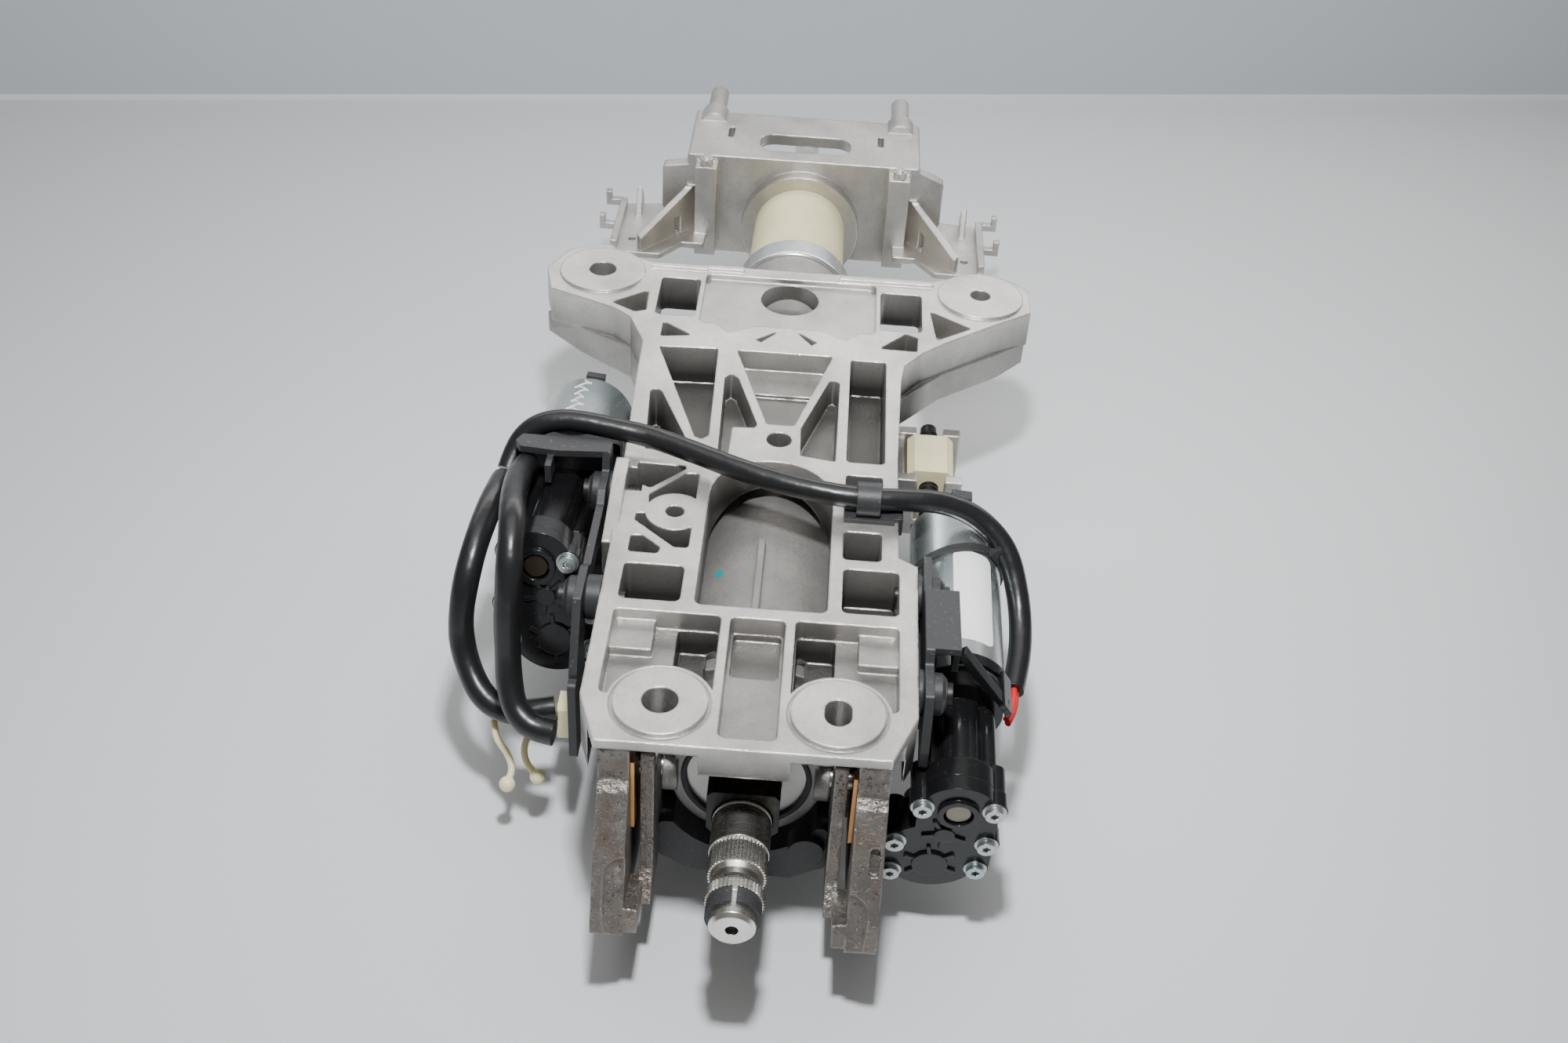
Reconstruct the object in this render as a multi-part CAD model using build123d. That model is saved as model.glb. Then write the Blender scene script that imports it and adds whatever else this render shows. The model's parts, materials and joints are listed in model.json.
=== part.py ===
"""Steering column adjustment mechanism: a die-cast console that carries a column,
one motor drive that slides the column and one that tilts it.

The pieces are drawn with the two near bolt pads at z = 0, the near bolt holes on
y = 0 and the column in the plane x = 0. X points right and Y towards the steering
wheel. Every finished piece is then moved so that the origin is the middle of the
coupling spline on the column axis.
"""
import math
import os

from build123d import *

# Column, in millimetres.
AXIS_Z = -45.0
HINGE_Y = 14.0
SPLINE_Y = -30.0
SPLINE_R = 10.0
SPLINE_TEETH = 44
COLLAR_R = 10.25
LOWER_SHAFT_R = 9.0
UPPER_SHAFT_R = 12.0
JACKET_R = 24.0
TUBE_R = 21.0
SLEEVE_R = 24.0
RING_R = 26.7
TELESCOPE_GAP = 0.05
SHAFT_GAP = 0.35

# Console casting.
TOP_Z = -1.2
SLAB_Z = -24.0
EAR_Z = -18.0
PAD_R = 16.0
NEAR_HOLE_X = 29.6
NEAR_HOLE_R = 6.2
SLOT_WIDTH = 9.2
FAR_HOLE_X = 86.4
FAR_HOLE_Y = 278.2
FAR_HOLE_R = 6.2
FAR_SMALL_HOLE_R = 4.6
FAR_PAD_R = 19.35
NEAR_EDGE_Y = -19.3
FAR_EDGE_Y = 290.0
RELIEF_R = 31.0
DRAFT = 3.0

ARM_OUTER_X = 48.3
ARM_INNER_X = 37.7
SLOPE = 27.8

# Drives: place of the motor axis at the gearbox cover, and its pitch in degrees.
REACH_DRIVE = (73.6, -2.0, -39.0)
REACH_PITCH = 6.0
TILT_DRIVE = (-82.2, 70.0, -3.7)
TILT_PITCH = -12.0
IDLER_OFFSET = (3.6, -12.0)
OUTPUT_OFFSET = (7.0, -29.7)
GEAR_MODULE = 1.0
PINION_TEETH = 10
IDLER_TEETH = 15
OUTPUT_TEETH = 21
GEAR_WIDTH = 6.0
SPINDLE_R = 4.2
REACH_CAN_R = 17.5
TILT_CAN_R = 19.3
REACH_NUT_Y = 205.0
TILT_NUT_Y = 166.0

# Bracket plates of the two drives: distances from the column plane.
REACH_PLATE_X = (58.7, 61.8)
TILT_PLATE_X = (62.8, 65.8)
BOLT_Z = -8.0
BUSH_R = 7.4
DISC_R = 8.2

# Tilt lever.
LEVER_Y = 172.0
LEVER_Z = -85.5
LEVER_PIN_Y = 208.0
LEVER_PIN_Z = -78.0
PIN_R = 4.0

# Steering wheel end.
HEAD_Y = 420.0
SHELF_Z = -11.0
HEAD_PIN_X = 50.5
HEAD_PIN_R = 5.0

# Leads.
LEAD_R = 4.4
LOOP_R = 5.0
CLIP_WIRE_R = 1.3

TO_DATUM = Pos(0, -SPLINE_Y, -AXIS_Z)

os.makedirs("parts", exist_ok=True)


def save(name, *solids):
    """Moves the piece to the column's datum and writes it as one file."""
    if len(solids) == 1:
        shape = solids[0]
    else:
        shape = Compound(children=[s for solid in solids for s in solid.solids()])
    moved = TO_DATUM * shape
    export_step(moved, f"parts/{name}.step")
    print(f"{name}: {len(moved.solids())} solid(s), {moved.volume / 1000:.2f} cm3")


def outline(points, corner=0.0):
    """A closed face through the points, with every corner rounded if asked."""
    face = make_face(Polyline(*points, close=True))
    if corner:
        face = fillet(face.vertices(), corner)
    return face


def plate(points, z_low, z_high, corner=0.0):
    """A level plate seen from above."""
    face = Pos(0, 0, z_low) * outline(points, corner)
    return extrude(face, amount=z_high - z_low, dir=(0, 0, 1))


def side_plate(points, x_low, x_high, corner=0.0):
    """A plate across the column, with its (y, z) outline."""
    face = Pos(x_low, 0, 0) * (Plane.YZ * outline(points, corner))
    return extrude(face, amount=x_high - x_low, dir=(1, 0, 0))


def cross_plate(points, y_low, y_high, corner=0.0):
    """A plate square to the column, with its (x, z) outline."""
    face = Pos(0, y_low, 0) * (Plane.XZ * outline(points, corner))
    return extrude(face, amount=y_high - y_low, dir=(0, 1, 0))


def rod_x(y, z, radius, x_low, x_high):
    """A round bar along X."""
    bar = Rot(0, 90, 0) * Cylinder(radius, x_high - x_low)
    return Pos((x_low + x_high) / 2, y, z) * bar


def rod_y(x, z, radius, y_low, y_high):
    """A round bar along Y."""
    bar = Rot(90, 0, 0) * Cylinder(radius, y_high - y_low)
    return Pos(x, (y_low + y_high) / 2, z) * bar


def rod_z(x, y, radius, z_low, z_high):
    """An upright round bar."""
    return Pos(x, y, (z_low + z_high) / 2) * Cylinder(radius, z_high - z_low)


def column(radius, y_low, y_high):
    """A round bar on the column axis."""
    return rod_y(0, AXIS_Z, radius, y_low, y_high)


def ring(outer, inner, y_low, y_high):
    """A tube on the column axis."""
    return column(outer, y_low, y_high) - column(inner, y_low - 1, y_high + 1)


def block(x_low, x_high, y_low, y_high, z_low, z_high):
    """A rectangular block between the given limits."""
    size = (x_high - x_low, y_high - y_low, z_high - z_low)
    centre = ((x_low + x_high) / 2, (y_low + y_high) / 2, (z_low + z_high) / 2)
    return Pos(*centre) * Box(*size)


def mirrored(solid):
    """The same piece on the other side of the column."""
    return mirror(solid, Plane.YZ)


def pocket(points, floor_z, corner=2.0):
    """The space of one cast pocket, its walls leaning in towards the floor."""
    face = Pos(0, 0, TOP_Z) * outline(points, corner)
    deep = extrude(face, amount=TOP_Z - floor_z, dir=(0, 0, -1), taper=DRAFT)
    mouth = extrude(face, amount=2.0, dir=(0, 0, 1))
    return deep + mouth


def rectangle(x_low, x_high, y_low, y_high):
    """The four corners of a plan rectangle."""
    return [(x_low, y_low), (x_high, y_low), (x_high, y_high), (x_low, y_high)]


# Console casting.

RIGHT_SIDE = [
    (47.9, NEAR_EDGE_Y), (56.3, 1.5), (56.5, 80.6), (49.5, 85.0), (49.0, 146.0),
    (50.3, 204.0), (51.7, 216.0), (59.7, 227.5), (69.6, 237.0), (94.2, 256.9),
    (109.0, 268.0), (109.0, 287.0), (98.0, 297.0), (80.0, 298.0), (66.0, FAR_EDGE_Y),
]
LEFT_SIDE = [
    (-66.0, FAR_EDGE_Y), (-80.0, 297.0), (-86.4, 303.5), (-104.0, 296.5),
    (-111.9, 278.2), (-107.3, 260.3), (-91.8, 253.8), (-77.2, 247.2),
    (-69.2, 240.6), (-61.5, 222.0), (-60.7, 191.0), (-58.5, 134.5), (-57.0, 81.0),
    (-56.5, 1.5), (-49.3, NEAR_EDGE_Y),
]


def ear_web(side_points, low_z, thickness):
    """The deep wall below the slanting edge of one ear."""
    first = side_points[0]
    last = side_points[-1]
    inner = [(x - math.copysign(thickness, x), y + 3.0) for x, y in reversed(side_points)]
    wall = plate(side_points + inner, low_z, EAR_Z + 1)
    trim = side_plate(
        [(first[1] - 12, low_z - 5), (last[1] + 12, low_z - 5), (last[1] + 12, EAR_Z - 6),
         (last[1] - 10, EAR_Z - 12), (first[1] + 14, low_z), (first[1] - 12, low_z)],
        min(first[0], last[0]) - 20, max(first[0], last[0]) + 20,
    )
    return wall - trim


def console_blank():
    """The casting before its pockets are sunk."""
    whole = plate(RIGHT_SIDE + LEFT_SIDE, SLAB_Z, TOP_Z)
    thin_ears = block(-130, 130, 222, 310, SLAB_Z - 1, EAR_Z)
    blank = whole - thin_ears
    right_web = [(50.5, 196.0), (51.7, 214.0), (69.6, 236.0), (94.2, 255.5), (108.0, 267.5)]
    left_web = [(-61.5, 206.0), (-62.0, 222.0), (-69.2, 240.0), (-91.8, 253.2), (-110.0, 266.0)]
    blank += ear_web(right_web, -30.5, 6.0)
    blank += ear_web(left_web, -36.0, 6.0)
    blank += rod_z(-99.0, 293.5, 6.5, EAR_Z, TOP_Z - 2)
    blank += rod_z(99.0, 292.5, 6.5, EAR_Z, TOP_Z - 2)
    blank += side_plate([(84, -18), (84, -2.6), (104, 1.2), (116, 4.2), (128, 4.2), (133, 0.5),
                         (133, -18)], -60.5, -55.4, 1.0)
    blank += rod_x(122.0, BOLT_Z, 8.5, -61.0, -55.4) & block(-62, -49, 110, 134, -20, 4.0)
    blank += block(-39.0, -22.0, 285.0, 288.0, TOP_Z - 1, 0.4)
    blank += block(22.0, 65.0, 283.5, 286.5, TOP_Z - 1, 0.4)
    blank += block(-65.0, -39.0, 284.0, 287.0, TOP_Z - 1, 0.4)
    for x in (-NEAR_HOLE_X, NEAR_HOLE_X):
        blank += rod_z(x, 0, PAD_R, TOP_Z - 1, 0)
    for x in (-FAR_HOLE_X, FAR_HOLE_X):
        blank += rod_z(x, FAR_HOLE_Y, FAR_PAD_R, TOP_Z - 1, 0)
    return blank


def under_console():
    """What the underside is relieved by: column, pivot arms and bearing ring."""
    relief = column(RELIEF_R, 20.0, 330.0)
    relief += column(RELIEF_R + 2.5, 270.0, 330.0)
    relief += column(RING_R + 2.3, -30.0, 40.0)
    relief += block(-27.0, 27.0, 12.0, 330.0, -60.0, AXIS_Z + 10)
    for side in (-1, 1):
        arm_room = block(28.8, 52.6, NEAR_EDGE_Y - 1, 46.0, SLAB_Z - 1, -12.0)
        arm_room += block(28.8, 52.6, NEAR_EDGE_Y - 1, -8.0, -13.0, -5.0)
        relief += arm_room if side > 0 else mirrored(arm_room)
    relief += block(-29.0, 29.0, NEAR_EDGE_Y - 1, 0.0, SLAB_Z - 1, -14.0)
    for side in (-1, 1):
        near_lip = block(15.0, 29.0, NEAR_EDGE_Y - 1, -11.0, SLAB_Z - 1, -5.0)
        relief += near_lip if side > 0 else mirrored(near_lip)
    return relief


def console_pockets():
    """Every pocket of the top face, as one list of spaces."""
    spaces = []
    boss_gap = 18.4
    near_left = pocket(rectangle(-50.9, -12.8, 3.0, 45.8), -9.0, 2.5)
    near_left += pocket(rectangle(-28.4, -13.2, 14.0, 45.4), -19.5, 2.0)
    near_left -= rod_z(-NEAR_HOLE_X, 0, boss_gap, -30, 5)
    near_left -= block(-51.5, -36.0, 30.0, 46.5, -10.0, -5.5)
    near_right = pocket(rectangle(13.3, 49.9, 3.0, 45.8), -9.0, 2.5)
    near_right += pocket(rectangle(13.7, 28.4, 14.0, 45.4), -19.5, 2.0)
    near_right -= rod_z(NEAR_HOLE_X, 0, boss_gap, -30, 5)
    near_right -= block(36.0, 50.5, 30.0, 46.5, -10.0, -5.5)
    spaces += [near_left, near_right]
    channel = pocket(rectangle(-9.6, 10.0, -14.0, 45.5), -8.5, 2.5)
    channel += pocket(rectangle(-8.6, 9.0, 22.0, 45.2), -11.5, 2.0)
    spaces.append(channel)
    spaces.append(pocket(rectangle(-50.5, -28.3, 51.5, 71.5), -19.0, 2.5))
    spaces.append(pocket(
        [(-50.2, 87.5), (-46.0, 88.0), (-38.3, 81.2), (-39.2, 77.6), (-50.2, 77.8)], -19.0, 1.5))
    lower_f = pocket(
        [(-49.8, 96.6), (-33.6, 82.0), (-28.1, 82.0), (-28.1, 95.0), (-39.0, 103.0),
         (-49.8, 101.0)], -19.0, 1.5)
    spaces.append(lower_f - rod_z(-35.3, 103.4, 11.2, -30, 5))
    upper_h = pocket(
        [(-45.6, 106.5), (-39.4, 109.0), (-28.1, 109.0), (-28.1, 128.6), (-33.3, 128.0),
         (-46.2, 113.0)], -19.0, 1.5)
    spaces.append(upper_h - rod_z(-35.3, 103.4, 11.2, -30, 5))
    spaces.append(pocket(
        [(-53.3, 133.3), (-31.8, 132.6), (-46.2, 117.0), (-50.6, 119.2)], -18.0, 1.5))
    spaces.append(pocket(rectangle(29.2, 49.8, 52.0, 76.7), -19.0, 2.5))
    spaces.append(pocket(rectangle(28.8, 43.2, 82.0, 98.8), -19.0, 2.0))
    spaces.append(pocket(rectangle(28.7, 43.3, 112.0, 134.6), -19.0, 2.0))
    spaces.append(pocket(rectangle(28.6, 44.0, 143.0, 218.0), -19.0, 2.0))
    spaces.append(pocket(
        [(19.8, 199.5), (21.9, 201.0), (24.5, 199.0), (24.4, 142.6), (10.2, 145.2),
         (9.6, 163.9)], -13.0, 1.0))
    peak = pocket([(-20.5, 219.5), (21.2, 219.8), (6.9, 165.2), (-4.4, 165.2)], -10.5, 1.5)
    peak += pocket([(-13.5, 201.0), (14.5, 201.0), (6.2, 168.2), (-3.8, 168.2)], -12.2, 1.2)
    spaces.append(peak)
    spaces.append(pocket(
        [(-24.0, 197.0), (-21.4, 200.8), (-18.0, 197.5), (-8.1, 164.7), (-9.0, 162.2),
         (-18.0, 161.5), (-18.3, 142.0), (-22.5, 141.6)], -13.0, 0.8))
    spaces.append(pocket(
        [(-54.1, 218.6), (-28.5, 219.8), (-26.9, 154.7), (-29.6, 151.6), (-32.6, 153.1)],
        -19.0, 1.2))
    spaces.append(pocket(
        [(-53.9, 183.4), (-51.5, 185.6), (-48.8, 183.6), (-34.6, 148.4), (-35.6, 145.2),
         (-51.3, 142.2)], -19.0, 1.2))
    spaces.append(pocket([(-79.0, 251.8), (-63.6, 264.4), (-62.8, 247.2), (-67.8, 245.0)], -13.0, 1.0))
    spaces.append(pocket([(63.2, 263.4), (81.8, 250.6), (66.0, 238.6)], -13.0, 1.0))
    spaces.append(pocket([(-54.5, 239.0), (-40.4, 228.6), (-54.5, 226.4)], -14.0, 1.0))
    spaces.append(pocket([(40.6, 228.6), (52.7, 242.6), (57.8, 239.6), (57.4, 228.2)], -14.0, 1.0))
    spaces.append(pocket([(-13.2, 228.8), (-2.2, 238.2), (-10.6, 227.0)], -6.5, 0.4))
    spaces.append(block(-55.4, -49.4, 114.5, 129.5, -14.0, 6.0))
    spaces.append(pocket([(3.4, 238.6), (13.8, 229.8), (11.4, 227.0)], -6.5, 0.4))
    return spaces


def console_windows():
    """What goes right through the casting."""
    window = plate(rectangle(-23.3, 24.3, 51.0, 118.0), -40, 5, 3.0)
    window += rod_z(0.5, 116.2, 23.8, -40, 5)
    sunk = plate(rectangle(-39.0, 39.0, 240.0, 282.5), -4.0, 5, 3.0)
    sunk += plate([(-38.6, 247.0), (-25.0, 233.0), (-3.0, 247.0)], -4.0, 5, 1.0)
    sunk += plate([(38.6, 247.0), (26.0, 233.5), (4.0, 247.0)], -4.0, 5, 1.0)
    eye = rod_z(0, 268.8, 13.1, -40, 5)
    square_left = plate(rectangle(-59.0, -41.0, 244.4, 277.0), -40, 5, 2.5)
    square_right = plate(rectangle(41.0, 59.7, 244.0, 276.5), -40, 5, 2.5)
    drain = rod_z(1.3, 155.0, 5.1, -40, 5)
    return [window, sunk, eye, square_left, square_right, drain]


def console_holes():
    """Bolt holes of the pads and of the drives."""
    near_left = rod_z(-NEAR_HOLE_X, 0, NEAR_HOLE_R, -40, 5)
    slot = rod_z(NEAR_HOLE_X, -1.6, SLOT_WIDTH / 2, -40, 5)
    slot += rod_z(NEAR_HOLE_X, 1.6, SLOT_WIDTH / 2, -40, 5)
    slot += block(NEAR_HOLE_X - SLOT_WIDTH / 2, NEAR_HOLE_X + SLOT_WIDTH / 2, -1.6, 1.6, -40, 5)
    far_left = rod_z(-FAR_HOLE_X, FAR_HOLE_Y, FAR_HOLE_R, -40, 5)
    far_right = rod_z(FAR_HOLE_X, FAR_HOLE_Y, FAR_SMALL_HOLE_R, -40, 5)
    dowel = rod_z(-35.3, 103.4, 3.55, -40, 5)
    tilt_bolts = rod_x(122.0, BOLT_Z, 3.0, -65, -45) + rod_x(58.5, BOLT_Z, 3.0, -65, -45)
    reach_bolts = rod_x(72.0, BOLT_Z, 3.0, 45, 65) + rod_x(21.0, BOLT_Z, 3.0, 52.6, 65)
    return [near_left, slot, far_left, far_right, dowel, tilt_bolts, reach_bolts]


def console_casting():
    """The die-cast console that is bolted to the car."""
    body = console_blank()
    body += block(-46.0, -26.0, 96.0, 112.0, SLAB_Z, TOP_Z)
    for space in console_pockets() + console_windows():
        body -= space
    body += rod_z(-35.3, 103.4, 8.5, SLAB_Z, TOP_Z)
    body -= under_console()
    body += block(-12.6, 14.3, NEAR_EDGE_Y, -14.5, -14.0, TOP_Z)
    for x in (-NEAR_HOLE_X, NEAR_HOLE_X):
        groove = rod_z(x, 0, PAD_R + 1.1, TOP_Z - 0.8, 1) - rod_z(x, 0, PAD_R, TOP_Z - 2, 2)
        body -= groove
    for hole in console_holes():
        body -= hole
    return body


# Column.


def spline_teeth(radius, y_low, y_high, count, depth):
    """A round bar with fine V-grooves along it."""
    angle = math.pi / count
    root = radius - depth
    points = []
    for i in range(count):
        turn = 2 * math.pi * i / count
        points.append((radius * math.cos(turn), radius * math.sin(turn) + AXIS_Z))
        points.append((root * math.cos(turn + angle), root * math.sin(turn + angle) + AXIS_Z))
    return cross_plate(points, y_low, y_high)


def lower_shaft():
    """Shaft end towards the steering gear, with two splines and a necked tip."""
    shaft = column(COLLAR_R, -25.0, -11.2) + column(COLLAR_R - 0.4, -11.2, -10.2)
    shaft += column(COLLAR_R, -10.2, 26.0)
    shaft += spline_teeth(SPLINE_R, -35.0, -25.0, SPLINE_TEETH, 0.7)
    neck = [(0, -35.0), (SPLINE_R - 0.7, -35.0), (8.7, -37.2), (8.7, -39.6),
            (SPLINE_R - 0.7, -41.6), (SPLINE_R - 0.7, -42.0), (0, -42.0)]
    neck = revolve(outline(neck), axis=Axis.Y)
    shaft += Pos(0, 0, AXIS_Z) * neck
    shaft += spline_teeth(SPLINE_R, -46.0, -42.0, SPLINE_TEETH, 0.7)
    shaft += column(7.8, -55.0, -46.0)
    tip = column(7.8, -56.6, -55.0)
    shaft += chamfer(tip.edges().group_by(Axis.Y)[0], 1.3)
    shaft += column(LOWER_SHAFT_R, 26.0, 205.0)
    shaft += column(10.0, 26.0, 40.0)
    centre_hole = rod_y(0, AXIS_Z, 2.2, -58.0, -48.0)
    return shaft - centre_hole


def shaft_end_ring():
    """Split plastic ring that keeps the second spline."""
    band = ring(9.3, 7.85, -52.0, -46.1)
    return band - block(-0.9, 0.9, -53, -45, AXIS_Z, AXIS_Z + 12)


def upper_shaft():
    """Tube that slides over the lower shaft and carries the steering wheel."""
    tube = column(UPPER_SHAFT_R, 150.0, 425.0)
    tube += column(11.0, 425.0, 470.0)
    tube += spline_teeth(9.0, 470.0, 490.0, 36, 0.6)
    tube += column(7.0, 490.0, 506.0)
    return tube - column(LOWER_SHAFT_R + TELESCOPE_GAP, 149.0, 240.0)


def outer_jacket():
    """Cast jacket: round tube, arched hood below the window and bell mouth."""
    hood = column(52.0, 40.0, 150.0)
    hood = Pos(0, 0, -28.3) * hood
    hood = hood & block(-27.0, 27.0, 40.0, 150.0, -58.0, -15.0)
    body = column(JACKET_R, 26.0, 290.0) + hood
    body += column(27.2, 278.0, 343.0)
    rib = block(-3.4, -0.6, 66.0, 112.0, -26.0, -18.0)
    foot = block(-6.4, 1.0, 62.0, 68.0, -26.0, -17.2)
    body += rib + foot
    shelf = Pos(0, 0, -28.0) * column(53.4, 40.0, 62.0)
    body += shelf & block(-27.0, 27.0, 40.0, 62.0, -58.0, -15.0)
    lug = side_plate([(190.0, -60.0), (200.0, -86.0), (216.0, -86.0), (228.0, -60.0)],
                     -32.0, -22.0, 3.0)
    lug += block(-30.0, 0.0, 192.0, 226.0, -70.0, -60.0)
    body += lug
    body += rod_x(LEVER_PIN_Y, LEVER_PIN_Z, PIN_R, -47.0, -30.0)
    body -= column(TUBE_R + TELESCOPE_GAP, 24.0, 285.0)
    body -= column(24.3, 284.0, 344.0)
    body -= block(0.0, 30.0, 167.0, 243.0, AXIS_Z - 9.5, AXIS_Z + 9.5)
    return body


def bearing_ring():
    """Cast ring round the lower bearing, with the two lugs of the tilt hinge."""
    body = ring(RING_R, 22.9, 10.0, 26.0)
    for side in (-1, 1):
        lug = block(24.0, 29.2, 12.0, 24.0, AXIS_Z - 8.5, AXIS_Z + 8.5)
        lug += rod_x(HINGE_Y, AXIS_Z, 8.5, 24.0, 29.2)
        body += lug if side > 0 else mirrored(lug)
    body -= rod_x(HINGE_Y, AXIS_Z, PIN_R + 0.05, 24.6, 32.0)
    body -= rod_x(HINGE_Y, AXIS_Z, PIN_R + 0.05, -32.0, -24.6)
    return body - column(22.9, 2.0, 26.0)


def head_bracket():
    """Cast bracket at the steering wheel end: plate, shelf, gussets and two trays."""
    plate_outline = [
        (-74, -39), (-74, -16), (-60, -14), (60, -10), (74, -16), (74, -39), (62, -64),
        (-62, -64),
    ]
    body = cross_plate(plate_outline, 417.0, 424.0, 2.0)
    body += cross_plate([(-61, -14), (61, -14), (61, -8), (-61, -8)], 417.0, 470.0, 1.5)
    body += rod_y(0, AXIS_Z, 31.0, 410.0, 424.0)
    for x in (-HEAD_PIN_X, HEAD_PIN_X):
        body += block(x - 5.5, x + 5.5, 409.0, 420.5, -62.5, -11.5)
        body += rod_z(x, 412.7, 3.4, -16.0, -7.4)
        body += rod_z(x, 412.7, 2.4, -8.0, -6.6)
        body += rod_y(x, SHELF_Z, 7.5, 458.0, 472.0)
    gusset = plate([(54.4, 419.5), (58.2, 419.5), (84, 388), (81.8, 385.6)], -52, -26)
    gusset -= side_plate([(380, -20), (420, -20), (414, -27), (384, -44), (380, -44)], 40, 100)
    tray = plate([(50, 419), (50, 398), (62, 398), (72, 384), (98, 384), (98, 436), (74, 440),
                  (70, 422)], -53.0, -50.0, 1.5)
    rim = block(94.5, 98.0, 386.0, 434.0, -52, -45)
    fin = side_plate([(422, -52), (438, -52), (438, -46), (430, -36)], 86.0, 89.0)
    clips = block(97.0, 106.0, 432.0, 435.5, -49, -45.5)
    clips += block(97.0, 106.0, 405.0, 408.5, -49, -45.5)
    clips += block(103.0, 106.0, 432.0, 435.5, -49, -41)
    clips += block(103.0, 106.0, 405.0, 408.5, -49, -41)
    wing = gusset + tray + rim + fin + clips
    wing -= rod_z(88.0, 398.0, 2.0, -60, -40)
    wing -= rod_z(66.0, 408.0, 2.5, -60, -40)
    body += wing
    body += mirrored(wing)
    body -= plate(rectangle(-24.0, 24.0, 427.0, 447.0), -20, 0, 8.0)
    for x in (-40.0, 40.0):
        body -= plate(rectangle(x - 1.6, x + 1.6, 440.0, 452.0), -20, 0, 1.4)
    body -= column(SLEEVE_R + 0.02, 400.0, 421.0)
    body -= column(18.0, 400.0, 430.0)
    return body


def head_pins():
    """Two pins that point to the steering wheel side."""
    pins = []
    for x in (-HEAD_PIN_X, HEAD_PIN_X):
        pin = rod_y(x, SHELF_Z, HEAD_PIN_R, 472.0, 500.0)
        pins.append(chamfer(pin.edges().group_by(Axis.Y)[-1], 0.8))
    return pins


def reach_arm():
    """Arm from the inner tube to two fork plates, in front of and behind the nut."""
    y = REACH_NUT_Y
    arm = block(19.0, 53.0, y - 10, y + 10, -54.0, -41.0)
    arm += block(51.0, 55.5, y - 20, y + 20, -67.5, -41.0)
    for y_low in (y - 20, y + 15):
        fork = block(52.0, 80.0, y_low, y_low + 5, -67.5, -38.5)
        fork -= block(60.6, 72.6, y_low - 1, y_low + 6, -59.5, -20.0)
        arm += fork
    arm += block(52.0, 80.0, y - 20, y + 20, -67.5, -64.0)
    return arm - column(TUBE_R, y - 30, y + 30)


# Pivot arms.


def pivot_arm(side):
    """Forked casting that carries the tilt hinge and hooks under the console."""
    outer = [
        (-17.0, -7.0), (-17.0, -21.0), (-20.5, -24.0), (-39.5, -60.0), (-42.5, -69.0),
        (-38.5, -74.5), (-27.0, -73.0), (-10.0, -80.0), (12.0, -85.0), (36.0, -82.0),
        (41.0, -64.0), (41.0, -12.0), (24.0, -12.0), (20.0, -25.0), (-8.0, -25.0),
        (-10.0, -13.5), (-10.0, -7.0),
    ]
    inner = [
        (-12.5, -13.0), (-13.5, -52.0), (-15.0, -66.0), (-24.0, -76.0), (-10.0, -80.0),
        (12.0, -80.0), (34.0, -78.0), (38.0, -64.0), (38.0, -27.0), (-7.5, -27.0), (-8.5, -13.0),
    ]
    body = side_plate(outer, ARM_INNER_X, ARM_OUTER_X, 1.2)
    body += side_plate(inner, 30.0, 34.5, 1.2)
    body += block(33.0, 42.0, 24.0, 38.0, -76.0, -28.0)
    toe = side_plate([(-37, -63), (-39, -72), (-22, -76), (-14, -78), (-15, -70)], 33.0, 38.5)
    body += toe
    body -= rod_x(HINGE_Y, AXIS_Z, PIN_R, 28.0, 52.0)
    lean = Rot(-SLOPE, 0, 0)
    drop = 0.0 if side < 0 else 7.0
    scoop = Pos(0, 0, -14.0) * Cylinder(8.5, 28.0) + Sphere(8.5)
    scoop = lean * (Pos(0, 0, -drop) * scoop)
    body -= Pos(ARM_INNER_X - 0.6, -37.9, -48.4) * scoop
    if side > 0:
        slot = Box(3.4, 5.0, 10.0)
        slot = fillet(slot.edges().filter_by(Axis.Y), 1.4)
        body -= Pos(45.2, -28.9, -39.5) * (lean * slot)
        return body
    return mirrored(body)


def wear_strips():
    """Copper-coloured strips in the gaps of the pivot arms."""
    strip = side_plate([(-16.0, -14.0), (-16.8, -44.0), (-12.0, -46.0), (-8.0, -44.0), (-8.0, -27.0),
                        (-12.0, -14.0)], ARM_INNER_X - 1.5, ARM_INNER_X - 0.1)
    return [strip, mirrored(strip)]


def pivot_pins():
    """Pins of the tilt hinge."""
    pins = []
    for side in (-1, 1):
        pin = rod_x(HINGE_Y, AXIS_Z, PIN_R, 25.0, ARM_OUTER_X + 0.2)
        pins.append(pin if side > 0 else mirrored(pin))
    return pins


def cross_yoke():
    """Bar below the bearing ring that ties the two arms together."""
    bar = cross_plate([(-30.0, -62.0), (-30.0, -79.0), (-18.0, -86.0), (18.0, -87.0), (30.0, -80.0),
                       (30.0, -60.0)], 3.0, 20.0, 2.0)
    bar -= rod_y(0, AXIS_Z, 30.0, -5.0, 45.0)
    boss = rod_y(22.8, -70.0, 6.5, 0.0, 8.0)
    return bar + boss


# Drives.


def gear(teeth, x, z, y_low, width, bore, turn=0.0):
    """A spur gear with trapezoid teeth, its axis along the drive."""
    pitch_r = GEAR_MODULE * teeth / 2
    tip_r = pitch_r + 0.85 * GEAR_MODULE
    root_r = pitch_r - 1.2 * GEAR_MODULE
    step = 2 * math.pi / teeth
    points = []
    for i in range(teeth):
        middle = step * i + turn
        for radius, offset in ((root_r, -0.30), (tip_r, -0.13), (tip_r, 0.13), (root_r, 0.30)):
            angle = middle + offset * step
            points.append((x + radius * math.cos(angle), z + radius * math.sin(angle)))
    body = cross_plate(points, y_low, y_low + width)
    if bore:
        body -= rod_y(x, z, bore, y_low - 1, y_low + width + 1)
    return body


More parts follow.
